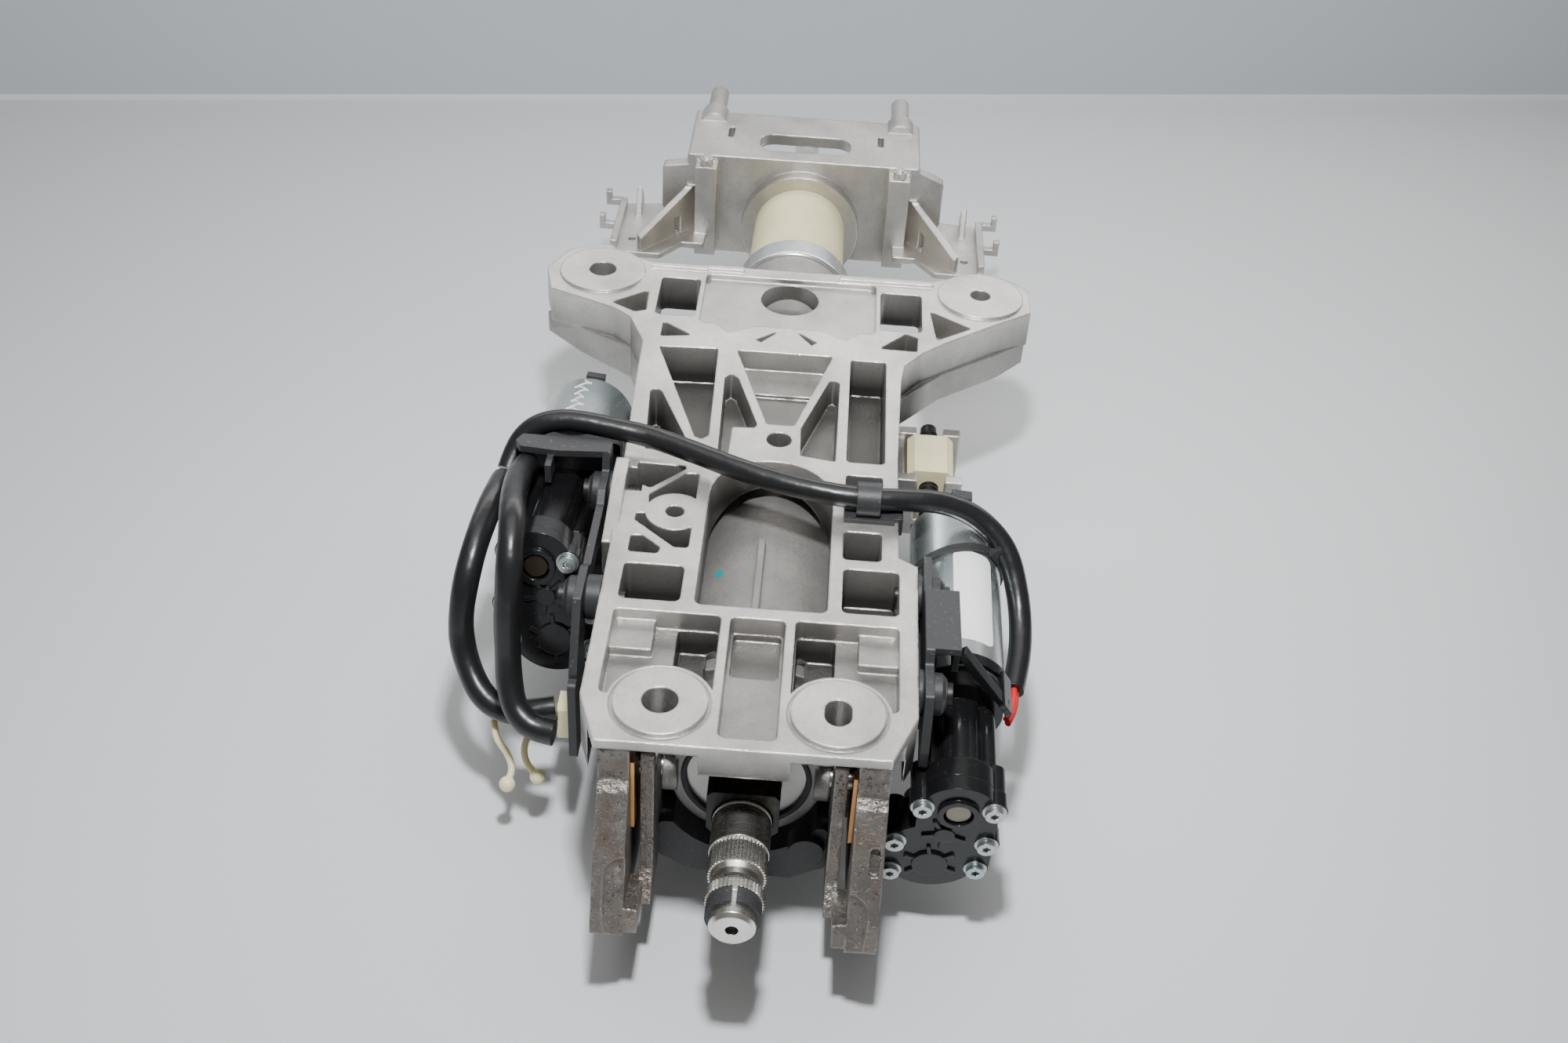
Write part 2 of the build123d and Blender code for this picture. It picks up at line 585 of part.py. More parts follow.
def mesh_turn(teeth, driver_teeth, driver_turn, angle):
    """Turn of a gear so that a gap of it faces a tooth of the gear that drives it."""
    driver_phase = ((angle - driver_turn) / (2 * math.pi / driver_teeth)) % 1.0
    step = 2 * math.pi / teeth
    return angle + math.pi + (0.5 + driver_phase) * step


def screw(x, z, y, head=3.3):
    """Pan screw with a six-lobed recess, its head towards the viewer."""
    body = rod_y(x, z, head, y - 2.6, y - 0.6) + rod_y(x, z, head + 0.9, y - 0.6, y)
    body = body + rod_y(x, z, 1.6, y, y + 9)
    star = []
    for i in range(12):
        angle = math.pi * i / 6
        radius = 1.75 if i % 2 else 1.15
        star.append((x + radius * math.cos(angle), z + radius * math.sin(angle)))
    return body - cross_plate(star, y - 3.0, y - 1.2)


def cover_outline(side, grow=0.0):
    """Front shape of the gearbox: a motor dome that runs into the output disc."""
    output_x = -side * OUTPUT_OFFSET[0]
    output_z = OUTPUT_OFFSET[1]
    shape = cross_plate([(-14 - grow, 3), (14 + grow, 3), (14 + grow, output_z),
                         (-14 - grow, output_z)], 0, 8)
    shape += rod_y(0, 0, 13.5 + grow, 0, 8)
    shape += rod_y(output_x, output_z + 4, 17.5 + grow, 0, 8)
    return shape


def cover_screws(side):
    """Places of the cover screws about the motor axis."""
    if side > 0:
        return [(-12.6, 2.2), (12.0, 2.4), (11.6, -16.5), (9.4, -31.0), (-20.4, -18.0),
                (-20.6, -35.0)]
    return [(11.5, 2.2), (-10.5, 5.0), (-11.6, -16.5), (-9.4, -31.0), (20.4, -18.0),
            (20.6, -33.0)]


def gearbox(side, neck_to, ribs):
    """Housing, cover, screws and bearing plug of one drive, in its own frame."""
    idler = (-side * IDLER_OFFSET[0], IDLER_OFFSET[1])
    output = (-side * OUTPUT_OFFSET[0], OUTPUT_OFFSET[1])
    bosses = cover_screws(side)
    housing = Pos(0, 4.1, 0) * cover_outline(side)
    for x, z in bosses:
        housing += rod_y(x, z, 4.2, 4.1, 15.0)
    housing += rod_y(0, 0, 9.0, 12.0, neck_to)
    for x in ribs:
        housing += rod_y(x, 5.0 if abs(x) < 5 else 2.0, 3.4, 12.0, neck_to)
    housing += rod_y(output[0], output[1], 9.5, 12.0, 26.0)
    housing += rod_y(0, 0, REACH_CAN_R - 1.0, neck_to - 8.0, neck_to)
    room = rod_y(0, 0, 6.4, 3.0, 11.0) + rod_y(*idler, 8.8, 3.0, 11.0)
    room += rod_y(*output, 11.8, 3.0, 11.0)
    housing -= room
    housing -= rod_y(0, 0, 2.3, 10.0, neck_to + 1.0)
    housing -= rod_y(*output, SPINDLE_R + 0.3, 10.0, 30.0)
    housing -= rod_y(*idler, 2.05, 10.0, 13.0)
    cover = Pos(0, -1.9, 0) * cover_outline(side) & block(-40, 40, -1.9, 4.0, -60, 30)
    for x, z in bosses:
        cover += rod_y(x, z, 4.6, -1.9, 4.0)
    cover -= rod_y(0, 0, 5.2, -4.0, 0.2)
    for x, z in bosses:
        cover -= rod_y(x, z, 1.6, -4, 6)
        housing -= rod_y(x, z, 1.6, 3, 12)
    star = rod_y(idler[0], idler[1], 3.6, -3.2, -1.9)
    hub = rod_y(output[0], output[1], 6.4, -3.0, -1.9)
    for centre, count, reach in ((idler, 5, 8.0), (output, 6, 10.0)):
        for i in range(count):
            angle = 2 * math.pi * i / count + 0.4
            rib = Pos(reach / 2, 0, 0) * Box(reach, 1.0, 1.4)
            rib = Rot(0, math.degrees(angle), 0) * rib
            star += Pos(centre[0], -2.3, centre[1]) * rib
    cover += star + hub
    rim = rod_y(0, 0, 7.2, -3.4, -1.9) - rod_y(0, 0, 5.2, -4.0, 0)
    cover += rim
    cover -= rod_y(0, 0, 3.2, -1.0, 5.0)
    screws = [screw(x, z, -1.9) for x, z in bosses]
    plug = rod_y(0, 0, 4.3, -2.4, 0.2)
    return housing, cover, screws, plug


def motor(radius, y_low, y_high):
    """Can and end cap of one motor."""
    can = rod_y(0, 0, radius, y_low, y_high)
    can = chamfer(can.edges().group_by(Axis.Y)[-1], 2.0)
    can += rod_y(0, 0, radius - 3.0, y_high - 1.0, y_high + 2.0)
    can -= rod_y(0, 0, 2.3, y_low - 1.0, y_low + 20.0)
    cap = rod_y(0, 0, radius - 5.0, y_high + 2.0, y_high + 6.5)
    for angle in (35, 155, 275):
        tab = Pos(radius - 4.0, 0, 0) * Box(7.0, 4.5, 8.0)
        cap += Pos(0, y_high + 4.4, 0) * (Rot(0, angle, 0) * tab)
    return can, cap


def spindle(side, length, lead_from):
    """Output gear, shaft and screw thread in one turning piece."""
    x, z = -side * OUTPUT_OFFSET[0], OUTPUT_OFFSET[1]
    body = rod_y(x, z, SPINDLE_R - 0.6, 5.0, lead_from)
    body += rod_y(x, z, SPINDLE_R - 0.6, lead_from, length)
    grooves = int((length - lead_from - 4) / 3.0)
    for i in range(grooves):
        y = lead_from + 2 + 3.0 * i
        ridge = Pos(x, y, z) * (Rot(90, 0, 0) * Cylinder(SPINDLE_R, 1.5))
        body += ridge
    return body


def drive_gears(side):
    """Pinion with motor shaft, idler with axle, and output gear."""
    idler = (-side * IDLER_OFFSET[0], IDLER_OFFSET[1])
    output = (-side * OUTPUT_OFFSET[0], OUTPUT_OFFSET[1])
    to_idler = math.atan2(idler[1], idler[0])
    to_output = math.atan2(output[1] - idler[1], output[0] - idler[0])
    idler_turn = mesh_turn(IDLER_TEETH, PINION_TEETH, 0.0, to_idler)
    output_turn = mesh_turn(OUTPUT_TEETH, IDLER_TEETH, idler_turn, to_output)
    pinion = gear(PINION_TEETH, 0, 0, 4.4, GEAR_WIDTH, 0)
    pinion += rod_y(0, 0, 2.0, 4.4, 60.0)
    middle = gear(IDLER_TEETH, *idler, 4.4, GEAR_WIDTH, 0, idler_turn)
    middle += rod_y(*idler, 2.0, 4.4, 12.8)
    wheel = gear(OUTPUT_TEETH, *output, 4.4, GEAR_WIDTH, SPINDLE_R - 0.6, output_turn)
    return pinion, middle, wheel


def nut(side, y, height):
    """Drive nut on the spindle."""
    x, z = -side * OUTPUT_OFFSET[0], OUTPUT_OFFSET[1]
    body = Pos(x, y, z) * Box(20.0, 24.0, height)
    body = chamfer(body.edges().filter_by(Axis.Y), 3.0)
    return body - rod_y(x, z, SPINDLE_R + 0.08, y - 14, y + 14)


# Leads.


def cord(points, radius, name):
    """A tube along a route of straight runs joined by round bends."""
    radii = []
    for i in range(1, len(points) - 1):
        before = Vector(*points[i]) - Vector(*points[i - 1])
        after = Vector(*points[i + 1]) - Vector(*points[i])
        turn = math.radians(before.get_angle(after))
        run = min(before.length, after.length)
        radii.append(0.45 * run / math.tan(turn / 2))
    path = FilletPolyline(*points, radius=radii)
    profile = Plane(origin=path @ 0, z_dir=path % 0) * Circle(radius)
    tube = sweep(profile, path=path)
    section = math.pi * radius ** 2 * path.length
    print(f"{name}: length {path.length:.1f}, radii", [round(r) for r in radii],
          f"volume {tube.volume:.0f} of {section:.0f}")
    return tube


LEAD_OVER_CONSOLE = [
    (-103.8, 131.0, -8.0), (-102.2, 136.7, -3.0), (-98.6, 140.8, 2.5), (-92.7, 142.6, 7.0),
    (-84.5, 143.2, 9.2), (-75.0, 142.8, 9.2), (-63.5, 141.6, 8.0), (-48.7, 140.0, 6.6),
    (-29.3, 130.5, 6.8), (-10.3, 121.0, 6.8), (8.0, 114.5, 6.6), (23.0, 111.5, 6.2),
    (37.5, 110.8, 5.6), (52.0, 113.0, 4.8), (66.0, 116.7, 2.4), (80.0, 117.4, -3.5),
    (92.5, 110.1, -12.6), (97.6, 98.2, -25.6), (99.0, 86.0, -33.0), (98.0, 72.0, -37.5),
    (95.3, 60.0, -40.0),
]
LEAD_LOOP_OUTER = [
    (-104.5, 124.0, -8.0), (-105.0, 110.0, -4.0), (-105.5, 95.0, -3.0), (-107.0, 80.0, -6.0),
    (-109.0, 70.0, -15.0), (-110.6, 65.5, -27.0), (-110.6, 63.0, -38.0), (-107.0, 57.0, -47.0),
    (-101.0, 49.5, -53.0), (-92.5, 45.0, -55.5), (-83.0, 44.5, -54.5), (-73.0, 46.5, -53.0),
]
LEAD_LOOP_INNER = [
    (-95.5, 127.0, -2.0), (-95.5, 115.0, 4.0), (-94.6, 101.0, 9.0), (-93.0, 86.0, 13.5),
    (-90.8, 73.0, 15.5), (-89.6, 63.0, 13.5), (-89.2, 55.0, 6.5), (-89.4, 51.0, -3.5),
    (-89.8, 48.5, -14.0), (-89.6, 46.0, -26.0), (-88.9, 42.0, -36.5), (-86.8, 37.0, -43.5),
    (-82.5, 33.0, -47.5), (-76.8, 30.8, -49.3), (-71.0, 30.2, -49.5),
]
MOTOR_LEADS = [(95.2, 59.4, -40.1), (95.2, 51.0, -41.4), (91.6, 44.0, -41.0)]


def build_console():
    """Console, pivot arms and everything bolted to them."""
    save("console_casting", console_casting())
    save("pivot_arm_left", pivot_arm(-1))
    save("pivot_arm_right", pivot_arm(1))
    save("wear_strips", *wear_strips())
    save("pivot_pins", *pivot_pins())
    save("cross_yoke", cross_yoke())
    bolts, bushes, washers = [], [], []
    for side, y in ((-1, 122.0), (-1, 58.5), (1, 72.0), (1, 21.0)):
        flank = 61.05 if side < 0 and y > 100 else (57.0 if side < 0 else 56.5)
        inner_x, outer_x = TILT_PLATE_X if side < 0 else REACH_PLATE_X
        stem_from = 52.7 if side > 0 and y < 50 else (50.4 if y > 100 else 48.5)
        bolt = rod_x(y, BOLT_Z, 2.95, stem_from, outer_x + 4.6)
        bolt += rod_x(y, BOLT_Z, 4.4, outer_x + 4.6, outer_x + 6.6)
        bolt -= rod_x(y, BOLT_Z, 2.2, outer_x + 5.4, outer_x + 7.0)
        if y > 100:
            for turn in range(3):
                bolt += rod_x(y, BOLT_Z, 3.3, 51.0 + 1.4 * turn, 51.7 + 1.4 * turn)
        bush = rod_x(y, BOLT_Z, BUSH_R, outer_x, outer_x + 4.0)
        bush = chamfer(bush.edges().group_by(Axis.X)[-1], 1.2)
        bush -= rod_x(y, BOLT_Z, 3.0, 40, 90)
        washer = rod_x(y, BOLT_Z, DISC_R, flank, inner_x)
        washer = chamfer(washer.edges().group_by(Axis.X)[-1], 0.8)
        washer += rod_x(y, BOLT_Z, 5.6, outer_x + 4.0, outer_x + 4.6)
        washer -= rod_x(y, BOLT_Z, 3.0, 40, 90)
        for pieces, piece in ((bolts, bolt), (bushes, bush), (washers, washer)):
            pieces.append(piece if side > 0 else mirrored(piece))
    save("drive_bolts", *bolts)
    save("rubber_bushes", *bushes)
    save("bush_washers", *washers)
    clip = block(28.5, 47.8, 104.0, 117.5, TOP_Z, 0.6) - block(29.0, 43.0, 112.0, 118, -3, TOP_Z)
    wrap = rod_x(110.8, 5.4, 6.6, 33.0, 42.0) & block(30, 45, 100, 120, -0.5, 13)
    clip += wrap
    clip += block(49.4, 51.0, 106.0, 116.0, -7.0, 0.6) + block(46.0, 51.0, 106.0, 116.0, TOP_Z, 0.6)
    clip -= cord(LEAD_OVER_CONSOLE, LEAD_R + 0.05, "channel of the clip")
    save("cable_clip", max(clip.solids(), key=lambda solid: solid.volume))


def build_reach_drive():
    """The drive on the right, which slides the column."""
    frame = Pos(*REACH_DRIVE) * Rot(REACH_PITCH, 0, 0)
    housing, cover, screws, plug = gearbox(1, 50.0, (-10.0, -3.4, 3.4, 10.0))
    save("reach_gear_housing", frame * housing)
    save("reach_gear_cover", frame * cover)
    save("reach_cover_screws", *[frame * s for s in screws])
    save("reach_bearing_plug", frame * plug)
    can, cap = motor(REACH_CAN_R, 50.1, 136.0)
    save("reach_motor_can", frame * can)
    save("reach_motor_end_cap", frame * cap)
    pinion, middle, wheel = drive_gears(1)
    save("reach_pinion", frame * pinion)
    save("reach_idler_gear", frame * middle)
    save("reach_spindle", frame * (spindle(1, 232.0, 150.0) + wheel))
    save("reach_nut", frame * nut(1, nut_station(REACH_DRIVE, REACH_PITCH, REACH_NUT_Y), 20.0))
    strap = rod_y(0, 0, REACH_CAN_R + 1.8, 50.5, 55.0)
    strap += Pos(7.4, 43.0, 18.8) * (Rot(0, 47.6, 0) * (Rot(0, 0, -16) * Box(27.0, 5.0, 3.0)))
    strap += Pos(15.8, 45.0, 9.6) * (Rot(0, 58, 0) * Box(6.0, 16.0, 3.0))
    strap -= rod_y(0, 0, REACH_CAN_R + 0.02, 20.0, 57.0)
    strap = frame * strap - block(50, 71.1, 0, 100, -40, 20)
    save("reach_strap", max(strap.solids(), key=lambda solid: solid.volume))
    around = rod_y(0, 0, REACH_CAN_R + 1.5, 90.0, 130.0)
    around -= rod_y(0, 0, REACH_CAN_R + 0.02, 89.0, 131.0)
    slab = Pos(0, 109.0, 0) * (Rot(0, 0, 14) * Box(60, 3.2, 60))
    tie_head = Pos(15.6, 113.2, 13.6) * (Rot(0, 45, 0) * Box(6.5, 7.0, 6.0))
    tie = around & slab
    tie = frame * (tie + (tie_head - rod_y(0, 0, REACH_CAN_R + 0.5, 90, 130)))
    tie -= cord(LEAD_OVER_CONSOLE, LEAD_R + 0.05, "channel of the tie")
    save("cable_tie", max(tie.solids(), key=lambda solid: solid.volume))
    bracket = side_plate([(88, -15.8), (88, -1), (66, -1), (63, 4), (30.5, 4), (28, -1), (12, -1),
                          (6, -22), (6, -30), (30, -22), (52, -15.8)], *REACH_PLATE_X, 1.5)
    bracket += plate(rectangle(59.0, 70.8, 31.0, 62.5), 1.2, 4.0)
    bracket += block(68.6, 70.8, 34.0, 62.5, -9.0, 4.0)
    for y in (72.0, 21.0):
        bracket -= rod_x(y, BOLT_Z, 3.0, 50, 80)
        bracket -= rod_x(y, BOLT_Z, DISC_R + 0.6, REACH_PLATE_X[1], 80)
    save("reach_bracket", bracket)


def nut_station(drive, pitch, y):
    """Distance along the pitched drive at which the spindle passes this y."""
    slant = math.radians(pitch)
    start = drive[1] - OUTPUT_OFFSET[1] * math.sin(slant)
    return (y - start) / math.cos(slant)


def build_tilt_drive():
    """The drive on the left, which tilts the column, with its lever."""
    frame = Pos(*TILT_DRIVE) * Rot(TILT_PITCH, 0, 0)
    housing, cover, screws, plug = gearbox(-1, 80.0, (-10.0, -3.4, 3.4))
    flange = cross_plate([(-24, 14), (-20, 17.8), (21, 17.8), (21, -22), (-18, -22), (-24, -14)],
                         72.0, 80.0, 2.0)
    save("tilt_gear_housing", frame * (housing + flange - rod_y(0, 0, 2.3, 60, 90)))
    save("tilt_gear_cover", frame * cover)
    save("tilt_cover_screws", *[frame * s for s in screws])
    save("tilt_bearing_plug", frame * plug)
    can, cap = motor(TILT_CAN_R, 80.1, 138.0)
    save("tilt_motor_can", frame * can)
    save("tilt_motor_end_cap", frame * cap)
    pinion, middle, wheel = drive_gears(-1)
    save("tilt_pinion", frame * pinion)
    save("tilt_idler_gear", frame * middle)
    save("tilt_spindle", frame * (spindle(-1, 126.0, 80.0) + wheel))
    station = nut_station(TILT_DRIVE, TILT_PITCH, TILT_NUT_Y)
    body = nut(-1, station, 18.0)
    x, z = OUTPUT_OFFSET
    body += rod_x(station, z, PIN_R, x - 14.5, x + 14.5) - rod_y(x, z, SPINDLE_R + 3, 0, 200)
    save("tilt_nut", frame * body)
    nut_place = frame * Pos(x, station, z)
    nut_x, nut_y, nut_z = tuple(nut_place.position)
    save("tilt_lever", tilt_lever(nut_x, nut_y, nut_z))
    save("lever_bracket", lever_bracket())
    bracket = side_plate([(134.5, -18), (134.5, 7.5), (126.5, 7.5), (124, 0), (112, 0), (108, -4),
                          (72, -4), (66, 0), (48, 0), (34, -24), (34, -40), (46, -36), (58, -12),
                          (92, -12), (100, -18)], -TILT_PLATE_X[1], -TILT_PLATE_X[0], 1.2)
    shelf = plate([(-63.0, 134.5), (-63.0, 126.5), (-84.0, 125.0), (-98.0, 126.5), (-100.0, 130.0),
                   (-98.0, 134.5)], 4.5, 7.5, 1.2)
    shelf += block(-98.0, -63.0, 131.5, 134.5, -6.0, 5.0)
    shelf += block(-87.0, -84.6, 118.0, 133.0, -3.0, 5.0)
    bracket += shelf
    for y in (122.0, 58.5):
        bracket -= rod_x(y, BOLT_Z, 3.0, -80, -50)
    lower = side_plate([(30, -26), (30, -62), (50, -62), (54, -26)],
                       -TILT_PLATE_X[1], -TILT_PLATE_X[0], 2.0)
    save("tilt_bracket", bracket + lower)


def tilt_lever(nut_x, nut_y, nut_z):
    """Bell crank between the tilt nut and the pin below the jacket."""
    up_angle = math.atan2(nut_z - LEVER_Z, nut_y - LEVER_Y)
    up_length = math.hypot(nut_z - LEVER_Z, nut_y - LEVER_Y)
    hub = rod_x(LEVER_Y, LEVER_Z, 9.0, -88.0, -61.5) + rod_x(LEVER_Y, LEVER_Z, 9.0, -51.0, -37.0)
    lever = hub + rod_x(LEVER_Y, LEVER_Z, PIN_R, -62.0, -50.0)

    def arm(angle, length, slot_from, slot_to, x_low, x_high):
        bar = block(x_low, x_high, 0, length + 8.0, -7.5, 7.5)
        bar = fillet(bar.edges().filter_by(Axis.X), 4.0)
        slot = block(x_low - 1, x_high + 1, slot_from - 4.6, slot_to + 4.6, -4.6, 4.6)
        slot = fillet(slot.edges().filter_by(Axis.X), 4.4)
        turned = Rot(math.degrees(angle), 0, 0) * (bar - slot)
        return Pos(0, LEVER_Y, LEVER_Z) * turned

    for x_low, x_high in ((nut_x - 14.0, nut_x - 10.8), (nut_x + 10.8, nut_x + 14.0)):
        lever += arm(up_angle, up_length, up_length - 3.0, up_length + 3.5, x_low, x_high)
    down_angle = math.atan2(LEVER_PIN_Z - LEVER_Z, LEVER_PIN_Y - LEVER_Y)
    down_length = math.hypot(LEVER_PIN_Z - LEVER_Z, LEVER_PIN_Y - LEVER_Y)
    lever += arm(down_angle, down_length, down_length - 4.5, down_length + 1.5, -44.0, -38.0)
    return lever


def lever_bracket():
    """Hanger that carries the lever below the left rail."""
    body = side_plate([(152, -24), (200, -24), (184, -90), (178, -96), (166, -96), (160, -90)],
                      -60.0, -52.5, 2.0)
    body += block(-60.0, -45.5, 152.0, 200.0, -28.0, -24.0)
    return body - rod_x(LEVER_Y, LEVER_Z, PIN_R + 0.05, -65, -45)


def build_leads():
    """Sleeved leads, their connector and the twist clip."""
    save("lead_over_console", cord(LEAD_OVER_CONSOLE, LEAD_R, "lead_over_console"))
    save("lead_loop_outer", cord(LEAD_LOOP_OUTER, LOOP_R, "lead_loop_outer"))
    save("lead_loop_inner", cord(LEAD_LOOP_INNER, LOOP_R, "lead_loop_inner"))
    save("motor_leads", cord(MOTOR_LEADS, 1.6, "motor_leads"))
    save("lead_connector", block(-74.0, -66.4, 52.0, 63.0, -74.0, -60.0))
    left_tail = [(-96.9, 47.6, -62.6), (-95.1, 42.0, -67.0), (-90.4, 38.6, -70.8),
                 (-88.0, 34.8, -74.5), (-89.4, 29.9, -78.0)]
    right_tail = [(-83.6, 48.4, -63.0), (-83.4, 44.7, -66.0), (-84.9, 40.8, -70.0),
                  (-83.4, 37.4, -74.0), (-78.7, 34.4, -77.5)]
    tails = []
    for route in (left_tail, right_tail):
        tails.append(cord(route, CLIP_WIRE_R, "twist clip") + Pos(*route[-1]) * Sphere(3.0))
    save("twist_clip", *tails)


def build_column():
    """Jacket, tubes, shafts and the head bracket."""
    save("outer_jacket", outer_jacket())
    save("bearing_ring", bearing_ring())
    save("ring_seal", ring(22.8, 21.2, 9.5, 15.0))
    square = block(-12.5, 12.5, -9.0, 22.0, AXIS_Z - 12.5, AXIS_Z + 12.5)
    save("bearing_cup", column(21.1, 11.5, 18.0) - square)
    long_edges = square.edges().filter_by(Axis.Y).group_by(Axis.Z)
    square = chamfer(long_edges[0], 7.5)
    square = chamfer(square.edges().filter_by(Axis.Y).group_by(Axis.Z)[-1], 2.0)
    save("shaft_block", square - column(COLLAR_R + SHAFT_GAP, -10.0, 23.0))
    save("lower_bearing", ring(21.0, 10.05, 28.0, 39.0))
    collar = column(28.8, 334.0, 349.0)
    collar = fillet(collar.edges(), 2.0)
    collar -= column(27.25, 330.0, 343.05) + column(24.6, 330.0, 350.0)
    save("zinc_collar", collar)
    save("lower_shaft", lower_shaft())
    save("shaft_end_ring", shaft_end_ring())
    save("inner_tube", ring(TUBE_R, 17.5, 150.0, 415.0))
    save("guide_sleeve", ring(SLEEVE_R, TUBE_R, 312.0, 419.0))
    save("upper_bearing", ring(17.5, UPPER_SHAFT_R + TELESCOPE_GAP, 396.0, 410.0))
    save("head_bracket", head_bracket())
    save("head_pins", *head_pins())
    save("reach_arm", reach_arm())
    save("upper_shaft", upper_shaft())


build_console()
build_reach_drive()
build_tilt_drive()
build_leads()
build_column()
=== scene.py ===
"""Looks of a powered steering column adjustment unit on a pale studio floor."""

import json
import math

import bpy
from mathutils import Matrix, Vector

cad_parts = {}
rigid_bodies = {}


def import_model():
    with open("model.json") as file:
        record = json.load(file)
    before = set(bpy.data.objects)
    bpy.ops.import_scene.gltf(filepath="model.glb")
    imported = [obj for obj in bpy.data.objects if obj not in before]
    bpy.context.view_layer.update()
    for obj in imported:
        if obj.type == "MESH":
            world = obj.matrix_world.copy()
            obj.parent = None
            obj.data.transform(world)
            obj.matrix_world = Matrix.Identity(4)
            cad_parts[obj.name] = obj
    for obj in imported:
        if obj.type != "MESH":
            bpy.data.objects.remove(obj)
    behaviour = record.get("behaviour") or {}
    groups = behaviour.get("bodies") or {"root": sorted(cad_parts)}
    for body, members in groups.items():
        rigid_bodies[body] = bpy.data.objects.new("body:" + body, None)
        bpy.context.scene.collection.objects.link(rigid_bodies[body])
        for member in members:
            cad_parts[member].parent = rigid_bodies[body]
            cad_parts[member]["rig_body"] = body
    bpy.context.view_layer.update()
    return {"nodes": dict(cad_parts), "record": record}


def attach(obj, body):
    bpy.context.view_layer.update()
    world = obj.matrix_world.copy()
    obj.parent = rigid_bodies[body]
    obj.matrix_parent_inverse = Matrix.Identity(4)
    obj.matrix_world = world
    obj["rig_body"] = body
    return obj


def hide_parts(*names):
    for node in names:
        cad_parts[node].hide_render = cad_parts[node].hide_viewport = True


bl_info = {
    "name": "Steering column adjuster",
    "version": (1, 0, 0),
    "blender": (4, 5, 0),
    "location": "View3D > Sidebar > Column",
    "description": "Dresses the adjustment unit of a steering column",
    "category": "Object",
}

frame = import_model()
NODES = frame["nodes"]

MM = 0.001
DATUM = Vector((0.0, -30.0, -45.0))
CAST_EDGE = 0.0012
MOULDED_EDGE = 0.0005


def place(x, y, z):
    """A point given from the console pads, in the row frame."""
    return (Vector((x, y, z)) - DATUM) * MM


# Maths on shader sockets.


class Signal:
    """A number that varies over a surface. Arithmetic on it adds Math nodes."""

    def __init__(self, graph, socket):
        self.graph = graph
        self.socket = socket

    def _math(self, operation, first, second):
        node = self.graph.add("ShaderNodeMath", {"operation": operation}, {0: first, 1: second})
        return Signal(self.graph, node.outputs[0])

    def __add__(self, other):
        return self._math("ADD", self, other)

    __radd__ = __add__

    def __sub__(self, other):
        return self._math("SUBTRACT", self, other)

    def __rsub__(self, other):
        return self._math("SUBTRACT", other, self)

    def __mul__(self, other):
        return self._math("MULTIPLY", self, other)

    __rmul__ = __mul__

    def clamp(self):
        """The number kept between 0 and 1."""
        node = self.graph.add("ShaderNodeClamp", {}, {"Value": self})
        return Signal(self.graph, node.outputs[0])


